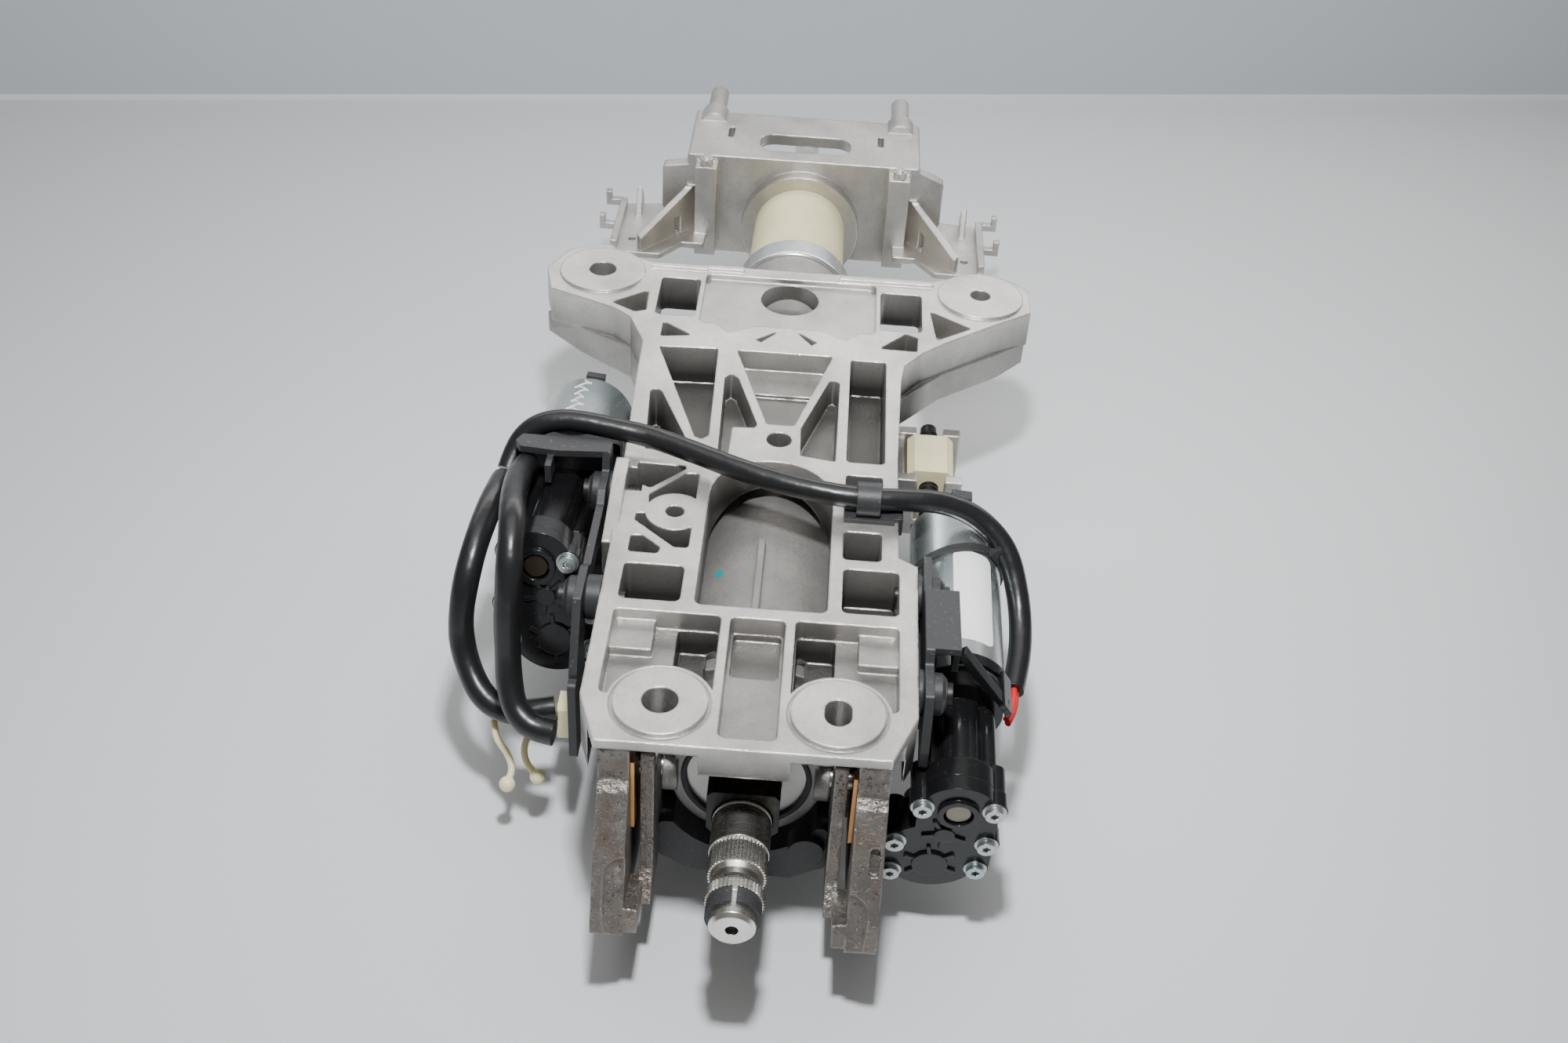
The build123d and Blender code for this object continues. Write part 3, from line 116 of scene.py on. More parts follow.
class Graph:
    """The node tree of one finish."""

    def __init__(self, name, edge_radius=MOULDED_EDGE):
        self.material = bpy.data.materials.new(name)
        self.edge_radius = edge_radius
        self.material.use_nodes = True
        self.nodes = self.material.node_tree.nodes
        self.links = self.material.node_tree.links
        self.shader = self.nodes["Principled BSDF"]
        self._object = None
        self._soft_normal = None

    def add(self, kind, settings, inputs):
        """One node: its settings first, then the values or links of its sockets."""
        node = self.nodes.new(kind)
        for key, value in settings.items():
            if key == "stops":
                self._stops(node.color_ramp, value)
            else:
                setattr(node, key, value)
        for key, value in inputs.items():
            self.feed(node.inputs[key], value)
        return node

    def _stops(self, ramp, stops):
        while len(ramp.elements) < len(stops):
            ramp.elements.new(0.5)
        for element, (position, colour) in zip(ramp.elements, stops):
            element.position = position
            element.color = (*colour, 1.0)

    def feed(self, socket, value):
        """Links or sets one socket."""
        if isinstance(value, Signal):
            value = value.socket
        if isinstance(value, bpy.types.NodeSocket):
            self.links.new(value, socket)
        elif socket.type == "RGBA" and len(value) == 3:
            socket.default_value = (*value, 1.0)
        else:
            socket.default_value = value

    def set(self, **values):
        """Values or links of the surface shader, by socket name with _ for a space."""
        for key, value in values.items():
            self.feed(self.shader.inputs[key.replace("_", " ")], value)
        return self

    def coordinates(self):
        """Places in the row frame."""
        if self._object is None:
            self._object = self.add("ShaderNodeTexCoord", {}, {}).outputs["Object"]
        return self._object

    def noise(self, scale, detail=3.0, roughness=0.55, stretch=None):
        """Soft noise from 0 to 1."""
        vector = self.coordinates()
        if stretch:
            mapping = self.add("ShaderNodeMapping", {}, {"Vector": vector, "Scale": stretch})
            vector = mapping.outputs[0]
        node = self.add("ShaderNodeTexNoise", {}, {
            "Vector": vector, "Scale": scale, "Detail": detail, "Roughness": roughness})
        return Signal(self, node.outputs[0])

    def soft_normal(self):
        """The surface's direction with its sharp edges rounded a little."""
        if self._soft_normal is None:
            node = self.add("ShaderNodeBevel", {"samples": 4}, {"Radius": self.edge_radius})
            self._soft_normal = node.outputs[0]
        return self._soft_normal

    def edge(self, gain):
        """0 on open faces and up to 1 along sharp edges."""
        true = self.add("ShaderNodeNewGeometry", {}, {}).outputs["Normal"]
        along = self.add("ShaderNodeVectorMath", {"operation": "DOT_PRODUCT"}, {
            0: self.soft_normal(), 1: true})
        return ((1 - Signal(self, along.outputs["Value"])) * gain).clamp()

    def along(self, axis):
        """One of the three coordinates."""
        node = self.add("ShaderNodeSeparateXYZ", {}, {"Vector": self.coordinates()})
        return Signal(self, node.outputs[axis])

    def below(self, top, bottom):
        """0 above one height of the row frame and 1 below another."""
        return ((top - self.along("Z")) * (1.0 / (top - bottom))).clamp()

    def beside(self, near, far):
        """0 within one distance of the middle plane and 1 past another."""
        across = self.along("X")
        return ((across * across - near * near) * (1.0 / (far * far - near * near))).clamp()

    def away(self, centre, near, far):
        """0 within one distance of a point and 1 past another."""
        reach = self.add("ShaderNodeVectorMath", {"operation": "DISTANCE"}, {
            0: self.coordinates(), 1: tuple(centre)})
        return ((Signal(self, reach.outputs["Value"]) - near) * (1.0 / (far - near))).clamp()

    def patches(self, scale, above, gain, detail=5.0, stretch=None):
        """Blots with clear borders, 1 inside and 0 outside."""
        return ((self.noise(scale, detail, 0.65, stretch) - above) * gain).clamp()

    def ramp(self, factor, stops):
        """A colour for each value of a signal."""
        node = self.add("ShaderNodeValToRGB", {"stops": stops}, {"Fac": factor})
        return node.outputs[0]

    def mix(self, factor, first, second):
        """One colour over another."""
        node = self.add("ShaderNodeMix", {"data_type": "RGBA"}, {0: factor, 6: first, 7: second})
        return node.outputs[2]

    def bump(self, height, strength, distance):
        """Relief from a signal, fed to the surface."""
        node = self.add("ShaderNodeBump", {}, {
            "Height": height, "Strength": strength, "Distance": distance,
            "Normal": self.soft_normal()})
        self.feed(self.shader.inputs["Normal"], node.outputs[0])
        return self

    def one_sided(self):
        """Shows the surface from its front only."""
        clear = self.add("ShaderNodeBsdfTransparent", {}, {}).outputs[0]
        back = self.add("ShaderNodeNewGeometry", {}, {}).outputs["Backfacing"]
        both = self.add("ShaderNodeMixShader", {}, {
            0: back, 1: self.shader.outputs[0], 2: clear}).outputs[0]
        self.feed(self.nodes["Material Output"].inputs["Surface"], both)
        return self


def scaled(colour, factor):
    """A colour made lighter or darker."""
    return tuple(channel * factor for channel in colour[:3])


# Finishes of the metals and plastics.

GRIME = (0.27, 0.24, 0.215)
RUST = (0.17, 0.10, 0.055)
PIT = (0.08, 0.065, 0.05)
WORN_CASTING = (0.56, 0.54, 0.51)
SCRAPED_CASTING = (0.66, 0.64, 0.61)
BROWN_STAIN = (0.40, 0.31, 0.17)
DUST = (0.30, 0.30, 0.29)
BLACKED_STEEL = (0.035, 0.033, 0.032)
GEAR_NYLON = (0.78, 0.76, 0.68)
DULL_PLUG = (0.30, 0.27, 0.22)
BROWN_PLUG = (0.085, 0.062, 0.045)
RED_SLEEVE = (0.62, 0.02, 0.02)
WHITE_SLEEVE = (0.80, 0.79, 0.76)
LABEL_PAPER = (0.92, 0.92, 0.91)
WHITE_PAINT = (0.82, 0.82, 0.78)
BLUE_GREEN_PAINT = (0.01, 0.22, 0.24)
# Bounds of the painted shade in the console casting's recesses and on its outer flanks.
FLANK_NEAR = 0.056
FLANK_FAR = 0.064
POCKET_TOP = place(0, 0, -1).z
POCKET_FLOOR = place(0, 0, -15).z


def cast_metal(name, colour, shine, pocket_shade=False, metal=0.86):
    """Die-cast metal: cloudy tone, flow marks, fine grain, scraped edges with painted highlight,
    and painted shade in the recesses where asked.
    """
    graph = Graph(name, CAST_EDGE)
    cloud = graph.noise(34.0, 4.0)
    flow = graph.noise(90.0, 5.0, 0.6, (1.0, 0.25, 0.6))
    grain = graph.noise(1900.0, 2.0)
    scrape = graph.edge(6.0) * graph.patches(160.0, 0.36, 6.0)
    grime = graph.patches(22.0, 0.52, 3.0, 6.0)
    speck = graph.noise(560.0, 4.0, 0.7)
    tone = graph.ramp(cloud, [(0.30, scaled(colour, 0.66)), (0.5, scaled(colour, 0.95)),
                              (0.70, scaled(colour, 1.16))])
    tone = graph.mix(flow * 0.42, tone, scaled(colour, 0.58))
    tone = graph.mix(grime * 0.34, tone, GRIME)
    tone = graph.mix(((speck - 0.5) * 3.2).clamp() * 0.5, tone, scaled(colour, 0.52))
    # Painted shade: the colour darkens from just under the top face down to the pocket floors,
    # half as much on the outer flanks.
    if pocket_shade:
        flank = graph.beside(FLANK_NEAR, FLANK_FAR)
        shade = graph.below(POCKET_TOP, POCKET_FLOOR) * (1 - flank * 0.5)
        tone = graph.mix(shade, tone, scaled(colour, 0.12))
    # Lighter scraped edges: partly real wear, partly a painted highlight along the edges.
    tone = graph.mix(scrape * 0.75, tone, scaled(colour, 1.19))
    graph.set(Base_Color=tone, Metallic=metal, Roughness=shine + flow * 0.18 - scrape * 0.14)
    return graph.bump(grain * 0.4 + flow * 0.5 + speck * 0.5, 0.55, 0.0006).material


def weathered_casting(name, colour):
    """Rough casting of the pivot arms: brown stains, pits and bright worn patches."""
    graph = Graph(name, CAST_EDGE)
    cloud = graph.noise(55.0, 5.0, 0.6)
    lump = graph.noise(330.0, 4.0, 0.6)
    pit = graph.patches(720.0, 0.60, 9.0, 2.0)
    rust = graph.patches(60.0, 0.50, 4.5)
    worn = graph.patches(95.0, 0.57, 7.0, 5.0, (1.0, 0.6, 0.6))
    scrape = graph.edge(4.0) * graph.patches(120.0, 0.40, 6.0)
    tone = graph.ramp(cloud, [(0.25, scaled(colour, 0.62)), (0.55, colour),
                              (0.8, scaled(colour, 1.35))])
    tone = graph.mix(rust * 0.62, tone, RUST)
    tone = graph.mix(worn * 0.6, tone, WORN_CASTING)
    tone = graph.mix(scrape * 0.75, tone, SCRAPED_CASTING)
    tone = graph.mix(pit * 0.6, tone, PIT)
    graph.set(Base_Color=tone, Metallic=0.9,
              Roughness=0.42 + cloud * 0.12 - worn * 0.16 - scrape * 0.12)
    return graph.bump(lump * 1.2 + cloud - pit * 0.7, 0.75, 0.0011).material


def machined_steel(name, colour, shine, turned=0.08, metal=1.0):
    """Turned steel with fine rings round the column."""
    graph = Graph(name)
    streak = graph.noise(900.0, 2.0, 0.5, (0.15, 3.0, 0.15))
    cloud = graph.noise(60.0, 3.0)
    tone = graph.ramp(cloud, [(0.3, scaled(colour, 0.84)), (0.7, scaled(colour, 1.10))])
    tone = graph.mix(graph.patches(48.0, 0.60, 6.0) * 0.35, tone, BROWN_STAIN)
    graph.set(Base_Color=tone, Metallic=metal, Roughness=shine + streak * 0.14)
    return graph.bump(streak, turned, 0.0002).material


def zinc_steel(name, colour, tint, shine):
    """Plated sheet steel with patches of another tint."""
    graph = Graph(name)
    patch = graph.noise(24.0, 2.0)
    wipe = graph.noise(140.0, 4.0, 0.6, (1.0, 0.3, 1.0))
    tone = graph.mix(((patch - 0.42) * 3.5).clamp(), colour, tint)
    tone = graph.mix(graph.patches(210.0, 0.62, 8.0) * 0.25, tone, scaled(colour, 0.6))
    graph.set(Base_Color=tone, Metallic=0.92, Roughness=shine + wipe * 0.20)
    return graph.bump(wipe, 0.06, 0.0004).material


def moulded_plastic(name, colour, shine, grain=0.0, dust=0.0):
    """Moulded plastic, with grain and a little dust where asked."""
    graph = Graph(name)
    cloud = graph.noise(90.0, 4.0)
    tone = graph.mix(cloud * 0.4, colour, scaled(colour, 1.6))
    tone = graph.mix(graph.edge(3.0) * 0.35, tone, scaled(colour, 3.2))
    if dust:
        tone = graph.mix(graph.patches(700.0, 0.62, 8.0, 2.0) * dust, tone, DUST)
    graph.set(Base_Color=tone, Roughness=shine + cloud * 0.12, Specular_IOR_Level=0.42)
    fine = graph.noise(2600.0, 1.0)
    return graph.bump(fine * grain + cloud * 0.3, 0.20, 0.0003).material


def clear_nylon(name, colour):
    """Cream nylon that lets some light in."""
    graph = Graph(name)
    cloud = graph.noise(45.0, 3.0)
    tone = graph.ramp(cloud, [(0.3, scaled(colour, 0.88)), (0.7, colour)])
    graph.set(Base_Color=tone, Roughness=0.36 + cloud * 0.1, Subsurface_Weight=0.25,
              Subsurface_Radius=(0.006, 0.005, 0.003), Subsurface_Scale=0.5)
    return graph.material


def lead_sleeve(name, colour):
    """Soft glossy sleeve with long creases and dents."""
    graph = Graph(name)
    crease = graph.noise(150.0, 2.0, 0.5, (1.0, 0.45, 1.0))
    fold = graph.noise(62.0, 3.0, 0.5)
    graph.set(Base_Color=graph.mix(fold, colour, scaled(colour, 1.6)),
              Roughness=0.25 + crease * 0.12)
    return graph.bump(crease * 0.3 + fold * 2.0, 0.28, 0.0014).material


def plain(name, colour, shine, metal=0.0):
    """One even colour."""
    graph = Graph(name)
    return graph.set(Base_Color=colour, Roughness=shine, Metallic=metal).material


FINISH_OF = {}


def finishes():
    """Makes every finish once, by the name of a material slot or of a node with its own."""
    look = bpy.context.scene.column_finish
    black = look.plastic[:]
    screw = zinc_steel("screw_zinc", scaled(look.zinc, 0.60), scaled(look.zinc_tint, 0.62), 0.20)
    FINISH_OF.update({
        "cast_aluminium": cast_metal(
            "cast_aluminium", scaled(look.casting, 0.95), 0.30, metal=0.95),
        "console_casting": cast_metal("console_casting", look.casting[:], 0.28, pocket_shade=True),
        "rough_casting": weathered_casting("rough_casting", look.rough_casting[:]),
        "copper_strip": machined_steel("copper_strip", look.copper[:], 0.30),
        "bright_steel": machined_steel("bright_steel", look.steel[:], 0.20, 0.035),
        "black_steel": machined_steel("black_steel", BLACKED_STEEL, 0.32, 0.1, 0.6),
        "zinc_plate": zinc_steel(
            "zinc_plate", scaled(look.zinc, 0.80), scaled(look.zinc_tint, 0.78), 0.17),
        "gloss_black_plastic": moulded_plastic("gloss_black_plastic", black, 0.14, 0.0, 0.05),
        "black_plastic": moulded_plastic("black_plastic", scaled(black, 4.5), 0.40, 0.7, 0.25),
        "rubber": moulded_plastic("rubber", scaled(black, 3.4), 0.46, 0.5, 0.2),
        "cream_plastic": clear_nylon("cream_plastic", look.nylon[:]),
        "lead_sleeve": lead_sleeve("lead_sleeve", scaled(black, 1.5)),
        "gear_plastic": moulded_plastic("gear_plastic", GEAR_NYLON, 0.35),
        "outer_jacket": cast_metal("jacket_casting", scaled(look.casting, 0.56), 0.46),
        "zinc_collar": zinc_steel("bright_zinc", look.zinc[:], scaled(look.zinc_tint, 1.15), 0.14),
        # Painted shade: the bearing ring takes half the casting colour.
        "bearing_ring": cast_metal("bearing_casting_painted_shade", scaled(look.casting, 0.50), 0.42),
        # Darker steel for the bearing cup: partly its own brushed grey, partly painted shade.
        "bearing_cup": machined_steel("bearing_cup", scaled(look.steel, 0.48), 0.34),
        "reach_cover_screws": screw,
        "tilt_cover_screws": screw,
        "reach_bearing_plug": machined_steel("dull_plug", DULL_PLUG, 0.42, 0.3),
        "tilt_bearing_plug": machined_steel("brown_plug", BROWN_PLUG, 0.36, 0.2),
    })


def finish_for(node):
    """The finish of a CAD node: its own, or the one of its material slot."""
    if node in FINISH_OF:
        return FINISH_OF[node]
    for part in frame["record"]["subparts"]:
        if part["node"] == node:
            return FINISH_OF[part["material_slot"]]
    raise KeyError(node)


def dress(names, angle=32.0):
    """Gives CAD pieces their finish and smooth round faces."""
    for name in names:
        piece = NODES[name]
        piece.data.materials.clear()
        piece.data.materials.append(finish_for(name))
        bpy.context.view_layer.objects.active = piece
        for other in bpy.context.selected_objects:
            other.select_set(False)
        piece.select_set(True)
        bpy.ops.object.shade_smooth_by_angle(angle=math.radians(angle))


def body_named(name):
    """The CAD body that carries a node."""
    return NODES[name]["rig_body"]


# Settings that a user would change.


class ColumnFinish(bpy.types.PropertyGroup):
    """Colours of the metals and plastics."""

    casting: bpy.props.FloatVectorProperty(
        name="Casting", description="Colour of the die-cast pieces", subtype="COLOR",
        default=(0.74, 0.71, 0.675), min=0.0, max=1.0)
    rough_casting: bpy.props.FloatVectorProperty(
        name="Pivot arms", description="Colour of the rough pivot arms", subtype="COLOR",
        default=(0.25, 0.226, 0.206), min=0.0, max=1.0)
    copper: bpy.props.FloatVectorProperty(
        name="Wear strips", description="Colour of the wear strips", subtype="COLOR",
        default=(0.62, 0.34, 0.14), min=0.0, max=1.0)
    steel: bpy.props.FloatVectorProperty(
        name="Steel", description="Colour of turned steel", subtype="COLOR",
        default=(0.86, 0.84, 0.79), min=0.0, max=1.0)
    zinc: bpy.props.FloatVectorProperty(
        name="Zinc", description="Colour of plated steel", subtype="COLOR",
        default=(0.88, 0.92, 0.92), min=0.0, max=1.0)
    zinc_tint: bpy.props.FloatVectorProperty(
        name="Zinc tint", description="Second tint of plated steel", subtype="COLOR",
        default=(0.66, 0.77, 0.79), min=0.0, max=1.0)
    plastic: bpy.props.FloatVectorProperty(
        name="Black plastic", description="Colour of the black plastics", subtype="COLOR",
        default=(0.0065, 0.0065, 0.007), min=0.0, max=1.0)
    nylon: bpy.props.FloatVectorProperty(
        name="Nylon", description="Colour of the cream nylon", subtype="COLOR",
        default=(0.92, 0.83, 0.52), min=0.0, max=1.0)


class StudioSettings(bpy.types.PropertyGroup):
    """Camera, floor and wall."""

    lens: bpy.props.FloatProperty(
        name="Lens", description="Focal length of the camera in millimetres", default=39.89,
        min=10.0, max=200.0, unit="CAMERA")
    floor_height: bpy.props.FloatProperty(
        name="Floor height", description="Height of the floor in the row frame", default=-0.0600,
        unit="LENGTH")
    floor_colour: bpy.props.FloatVectorProperty(
        name="Floor", description="Colour of the floor", subtype="COLOR",
        default=(0.74, 0.76, 0.78), min=0.0, max=1.0)
    wall_colour: bpy.props.FloatVectorProperty(
        name="Wall", description="Colour of the wall behind", subtype="COLOR",
        default=(0.58, 0.61, 0.64), min=0.0, max=1.0)


# Camera, floor, wall and light.

CAMERA_PLACE = (13.31, -414.63, 401.35)
CAMERA_TILT = math.radians(37.922)
CAMERA_YAW = math.radians(-0.7985)
CAMERA_ROLL = math.radians(-3.696)
SENSOR_WIDTH = 36.0
SEAM_ACROSS = 0.49
SEAM_UP = 0.2705
SEAM_STRIP = 0.004
SEAM_COLOUR = (0.86, 0.87, 0.88)
BACKDROP_REACH = 4.0
WALL_HEIGHT = 3.0
# Painted pool of light on the floor: full floor colour near this spot, darkening to a share of it
# farther out as painted shade.
PAINTED_LIGHT_SPOT = (70, 270, 0)
BRIGHT_WITHIN = 0.08
DIM_PAST = 0.85
DIM_TONE = 0.58
LIGHT_TARGET = (0, 100, -40)
LAMP_TINT = (0.95, 0.98, 1.0)
WARM_TINT = (1.0, 0.98, 0.95)
AREA_LIGHTS = (
    ("lamp", (-3, -140, 580), (0.05, 0.05), 6.5, LAMP_TINT),
    ("soft_ceiling", (-120, 250, 1350), (1.6, 1.2), 10.0, WARM_TINT),
    ("back_light", (-40, 690, 300), (1.3, 0.30), 4.4, WARM_TINT),
)
ROOM_COLOUR = (1.0, 0.97, 0.93)
ROOM_STRENGTH = 0.16


def camera_axes():
    """Right, up and forward directions of the camera in the row frame."""
    forward = Vector((math.sin(CAMERA_YAW) * math.cos(CAMERA_TILT),
                      math.cos(CAMERA_YAW) * math.cos(CAMERA_TILT), -math.sin(CAMERA_TILT)))
    level = Vector((math.cos(CAMERA_YAW), -math.sin(CAMERA_YAW), 0.0))
    down = forward.cross(level)
    right = math.cos(CAMERA_ROLL) * level + math.sin(CAMERA_ROLL) * down
    up = math.sin(CAMERA_ROLL) * level - math.cos(CAMERA_ROLL) * down
    return right, up, forward


def floor_point(across, above, lens, height):
    """Where the ray through a point of the picture meets the floor."""
    right, up, forward = camera_axes()
    ray = forward + (right * across + up * above) * SENSOR_WIDTH / lens
    start = place(*CAMERA_PLACE)
    return start + ray * ((height - start.z) / ray.z)


def scene_object(name, data):
    """An object in the scene that shows a mesh, a curve, a light or a camera."""
    carrier = bpy.data.objects.new(name, data)
    bpy.context.scene.collection.objects.link(carrier)
    return carrier


def mesh_object(name, vertices, faces, material):
    """A mesh of one material."""
    mesh = bpy.data.meshes.new(name)
    mesh.from_pydata([tuple(vertex) for vertex in vertices], [], faces)
    mesh.materials.append(material)
    return scene_object(name, mesh)


def area_light(name, where, size, power, tint):
    """A soft box that faces the light's target."""
    data = bpy.data.lights.new(name, "AREA")
    data.shape = "RECTANGLE"
    data.size, data.size_y = size
    data.energy = power
    data.color = tint
    light = scene_object(name, data)
    light.location = place(*where)
    light.rotation_mode = "QUATERNION"
    facing = place(*LIGHT_TARGET) - place(*where)
    light.rotation_quaternion = facing.to_track_quat("-Z", "Y")
    return light


def flat_sheet(name, foot, along, rise, material):
    """One four-sided sheet, from a line's middle to both its sides and up by a rise."""
    half = along * BACKDROP_REACH
    corners = [foot - half, foot + half, foot + half + rise, foot - half + rise]
    return mesh_object(name, corners, [(0, 1, 2, 3)], material)


class COLUMN_OT_stage(bpy.types.Operator):
    """Makes the camera, the pale floor, the wall behind and the lights."""

    bl_idname = "column.stage"
    bl_label = "Stage"

    def execute(self, context):
        studio = context.scene.column_studio
        data = bpy.data.cameras.new("camera")
        data.lens = studio.lens
        data.sensor_width = SENSOR_WIDTH
        data.clip_start = 0.01
        data.clip_end = 30.0
        camera = scene_object("camera", data)
        right, up, forward = camera_axes()
        turn = Matrix((right, up, -forward)).transposed().to_4x4()
        camera.matrix_world = Matrix.Translation(place(*CAMERA_PLACE)) @ turn
        context.scene.camera = camera
        self.backdrop(studio)
        self.lights(context)
        return {"FINISHED"}

    def backdrop(self, studio):
        """Floor and wall, met where the photograph's seam runs; the floor has a painted pool of
        light round a spot and painted shade farther out.
        """
        height = studio.floor_height
        left = floor_point(-SEAM_ACROSS, SEAM_UP, studio.lens, height)
        right = floor_point(SEAM_ACROSS, SEAM_UP, studio.lens, height)
        along = (right - left).normalized()
        near = Vector((along.y, -along.x, 0.0))
        middle = (left + right) / 2
        floor_graph = Graph("studio_floor")
        # Painted light and shade: the floor colour darkens away from the bright spot.
        painted_dimming = floor_graph.away(place(*PAINTED_LIGHT_SPOT), BRIGHT_WITHIN, DIM_PAST)
        shade = floor_graph.mix(
            painted_dimming, studio.floor_colour[:], scaled(studio.floor_colour, DIM_TONE))
        floor_graph.set(Base_Color=shade, Roughness=0.42, Specular_IOR_Level=0.35)
        wall_graph = Graph("studio_wall")
        wall_graph.set(Base_Color=studio.wall_colour[:], Roughness=0.6).one_sided()
        strip_graph = Graph("studio_strip")
        strip_graph.set(Base_Color=SEAM_COLOUR, Roughness=0.5).one_sided()
        depth = near * BACKDROP_REACH
        floor = flat_sheet("studio_floor", middle + depth, along, -depth, floor_graph.material)
        wall = flat_sheet("studio_wall", middle, along, Vector((0.0, 0.0, WALL_HEIGHT)),
                          wall_graph.material)
        strip = flat_sheet("studio_strip", middle + near * SEAM_STRIP, along,
                           Vector((0.0, 0.0, SEAM_STRIP)), strip_graph.material)

    def lights(self, context):
        """A lamp high in front that casts the shadows, soft light above and a back light."""
        [area_light(*light) for light in AREA_LIGHTS]
        world = bpy.data.worlds.new("studio_light")
        world.use_nodes = True
        background = world.node_tree.nodes["Background"]
        background.inputs["Color"].default_value = (*ROOM_COLOUR, 1.0)
        background.inputs["Strength"].default_value = ROOM_STRENGTH
        context.scene.world = world


# Sleeved leads and the two bare wires.

LEAD_RADIUS = 4.4
LOOP_RADIUS = 5.0
WIRE_RADIUS = 1.25
WIRE_OFFSETS = ((0.56, 1.4), (1.4, -0.56))
LEAD_OVER_CONSOLE = [
    (-103.8, 131.0, -8.0), (-102.2, 136.7, -3.0), (-98.6, 140.8, 2.5), (-92.7, 142.6, 7.0),
    (-84.5, 143.2, 9.2), (-75.0, 142.8, 9.2), (-63.5, 141.6, 8.0), (-48.7, 140.0, 6.6),
    (-29.3, 130.5, 6.8), (-10.3, 121.0, 6.8), (8.0, 114.5, 6.6), (23.0, 111.5, 6.2),
    (37.5, 110.8, 5.6), (52.0, 113.0, 4.8), (66.0, 116.7, 2.4), (80.0, 117.4, -3.5),
    (92.5, 110.1, -12.6), (97.6, 98.2, -25.6), (99.0, 86.0, -33.0), (98.0, 72.0, -37.5),
    (95.3, 60.0, -40.0),
]
LEAD_LOOP_OUTER = [
    (-104.5, 124.0, -8.0), (-105.0, 110.0, -4.0), (-105.5, 95.0, -3.0), (-107.0, 80.0, -6.0),
    (-109.0, 70.0, -15.0), (-110.6, 65.5, -27.0), (-110.6, 63.0, -38.0), (-107.0, 57.0, -47.0),
    (-101.0, 49.5, -53.0), (-92.5, 45.0, -55.5), (-83.0, 44.5, -54.5), (-73.0, 46.5, -53.0),
]
LEAD_LOOP_INNER = [
    (-95.5, 127.0, -2.0), (-95.5, 115.0, 4.0), (-94.6, 101.0, 9.0), (-93.0, 86.0, 13.5),
    (-90.8, 73.0, 15.5), (-89.6, 63.0, 13.5), (-89.2, 55.0, 6.5), (-89.4, 51.0, -3.5),
    (-89.8, 48.5, -14.0), (-89.6, 46.0, -26.0), (-88.9, 42.0, -36.5), (-86.8, 37.0, -43.5),
    (-82.5, 33.0, -47.5), (-76.8, 30.8, -49.3), (-71.0, 30.2, -49.5),
]
MOTOR_LEADS = [(95.2, 59.4, -40.1), (95.2, 51.0, -41.4), (91.6, 44.0, -41.0)]
EVEN = (1.0,)
CREASED = (1.0, 0.93, 0.99, 0.95)


def smooth_line(name, routes, radius, materials, squeeze=EVEN):
    """Round lines on smooth curves that the points of the routes guide."""
    data = bpy.data.curves.new(name, "CURVE")
    data.dimensions = "3D"
    data.bevel_depth = radius * MM
    data.bevel_resolution = 5
    data.use_fill_caps = True
    data.resolution_u = 10
    for number, route in enumerate(routes):
        spline = data.splines.new("NURBS")
        spline.points.add(len(route) - 1)
        for index, (point, where) in enumerate(zip(spline.points, route)):
            point.co = (*where, 1.0)
            point.radius = squeeze[index % len(squeeze)]
        spline.order_u = 3
        spline.use_endpoint_u = True
        spline.material_index = number
        data.materials.append(materials[number])
    return scene_object(name, data)


def line_length(line):
    """Length of a curve's own line, in metres."""
    probe = line.data.copy()
    probe.bevel_depth = 0.0
    carrier = scene_object("length_probe", probe)
    bpy.context.view_layer.update()
    mesh = carrier.evaluated_get(bpy.context.evaluated_depsgraph_get()).to_mesh()
    points = [v.co.copy() for v in mesh.vertices]
    total = sum((b - a).length for a, b in zip(points, points[1:]))
    bpy.data.objects.remove(carrier)
    bpy.data.curves.remove(probe)
    return total


class COLUMN_OT_leads(bpy.types.Operator):
    """Makes the sleeved leads on the console and its left side, and the motor's bare wires."""

    bl_idname = "column.leads"
    bl_label = "Leads"

    def execute(self, context):
        sleeve = FINISH_OF["lead_sleeve"]
        routes = {
            "lead_over_console": (LEAD_OVER_CONSOLE, LEAD_RADIUS, "taut"),
            "lead_loop_outer": (LEAD_LOOP_OUTER, LOOP_RADIUS, "hanging"),
            "lead_loop_inner": (LEAD_LOOP_INNER, LOOP_RADIUS, "hanging"),
        }
        for node, (points, radius, lay) in routes.items():
            route = [place(*point) for point in points]
            creases = EVEN if lay == "taut" else CREASED
            line = smooth_line(node + "_sleeve", [route], radius, [sleeve], creases)
            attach(line, body_named(node))
            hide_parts(node)
            line_length(line)
        self.wires()
        return {"FINISHED"}

    def wires(self):
        """The red and the white wire that come bare out of the sleeve at the motor."""
        routes = [[place(x + shift, y, z + lift) for x, y, z in MOTOR_LEADS]
                  for shift, lift in WIRE_OFFSETS]
        colours = [plain("red_wire", RED_SLEEVE, 0.35), plain("white_wire", WHITE_SLEEVE, 0.35)]
        pair = smooth_line("motor_wires", routes, WIRE_RADIUS, colours)
        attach(pair, body_named("motor_leads"))
        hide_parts("motor_leads")


# Pieces that come from the frame.


class COLUMN_OT_console(bpy.types.Operator):
    """Finishes the console casting, the pivot arms and what is bolted to them."""

    bl_idname = "column.console"
    bl_label = "Console"

    def execute(self, context):
        dress(["console_casting", "pivot_arm_left", "pivot_arm_right", "wear_strips",
               "pivot_pins", "cross_yoke", "drive_bolts", "rubber_bushes", "bush_washers",
               "cable_clip", "reach_bracket", "tilt_bracket", "lever_bracket"])
        return {"FINISHED"}


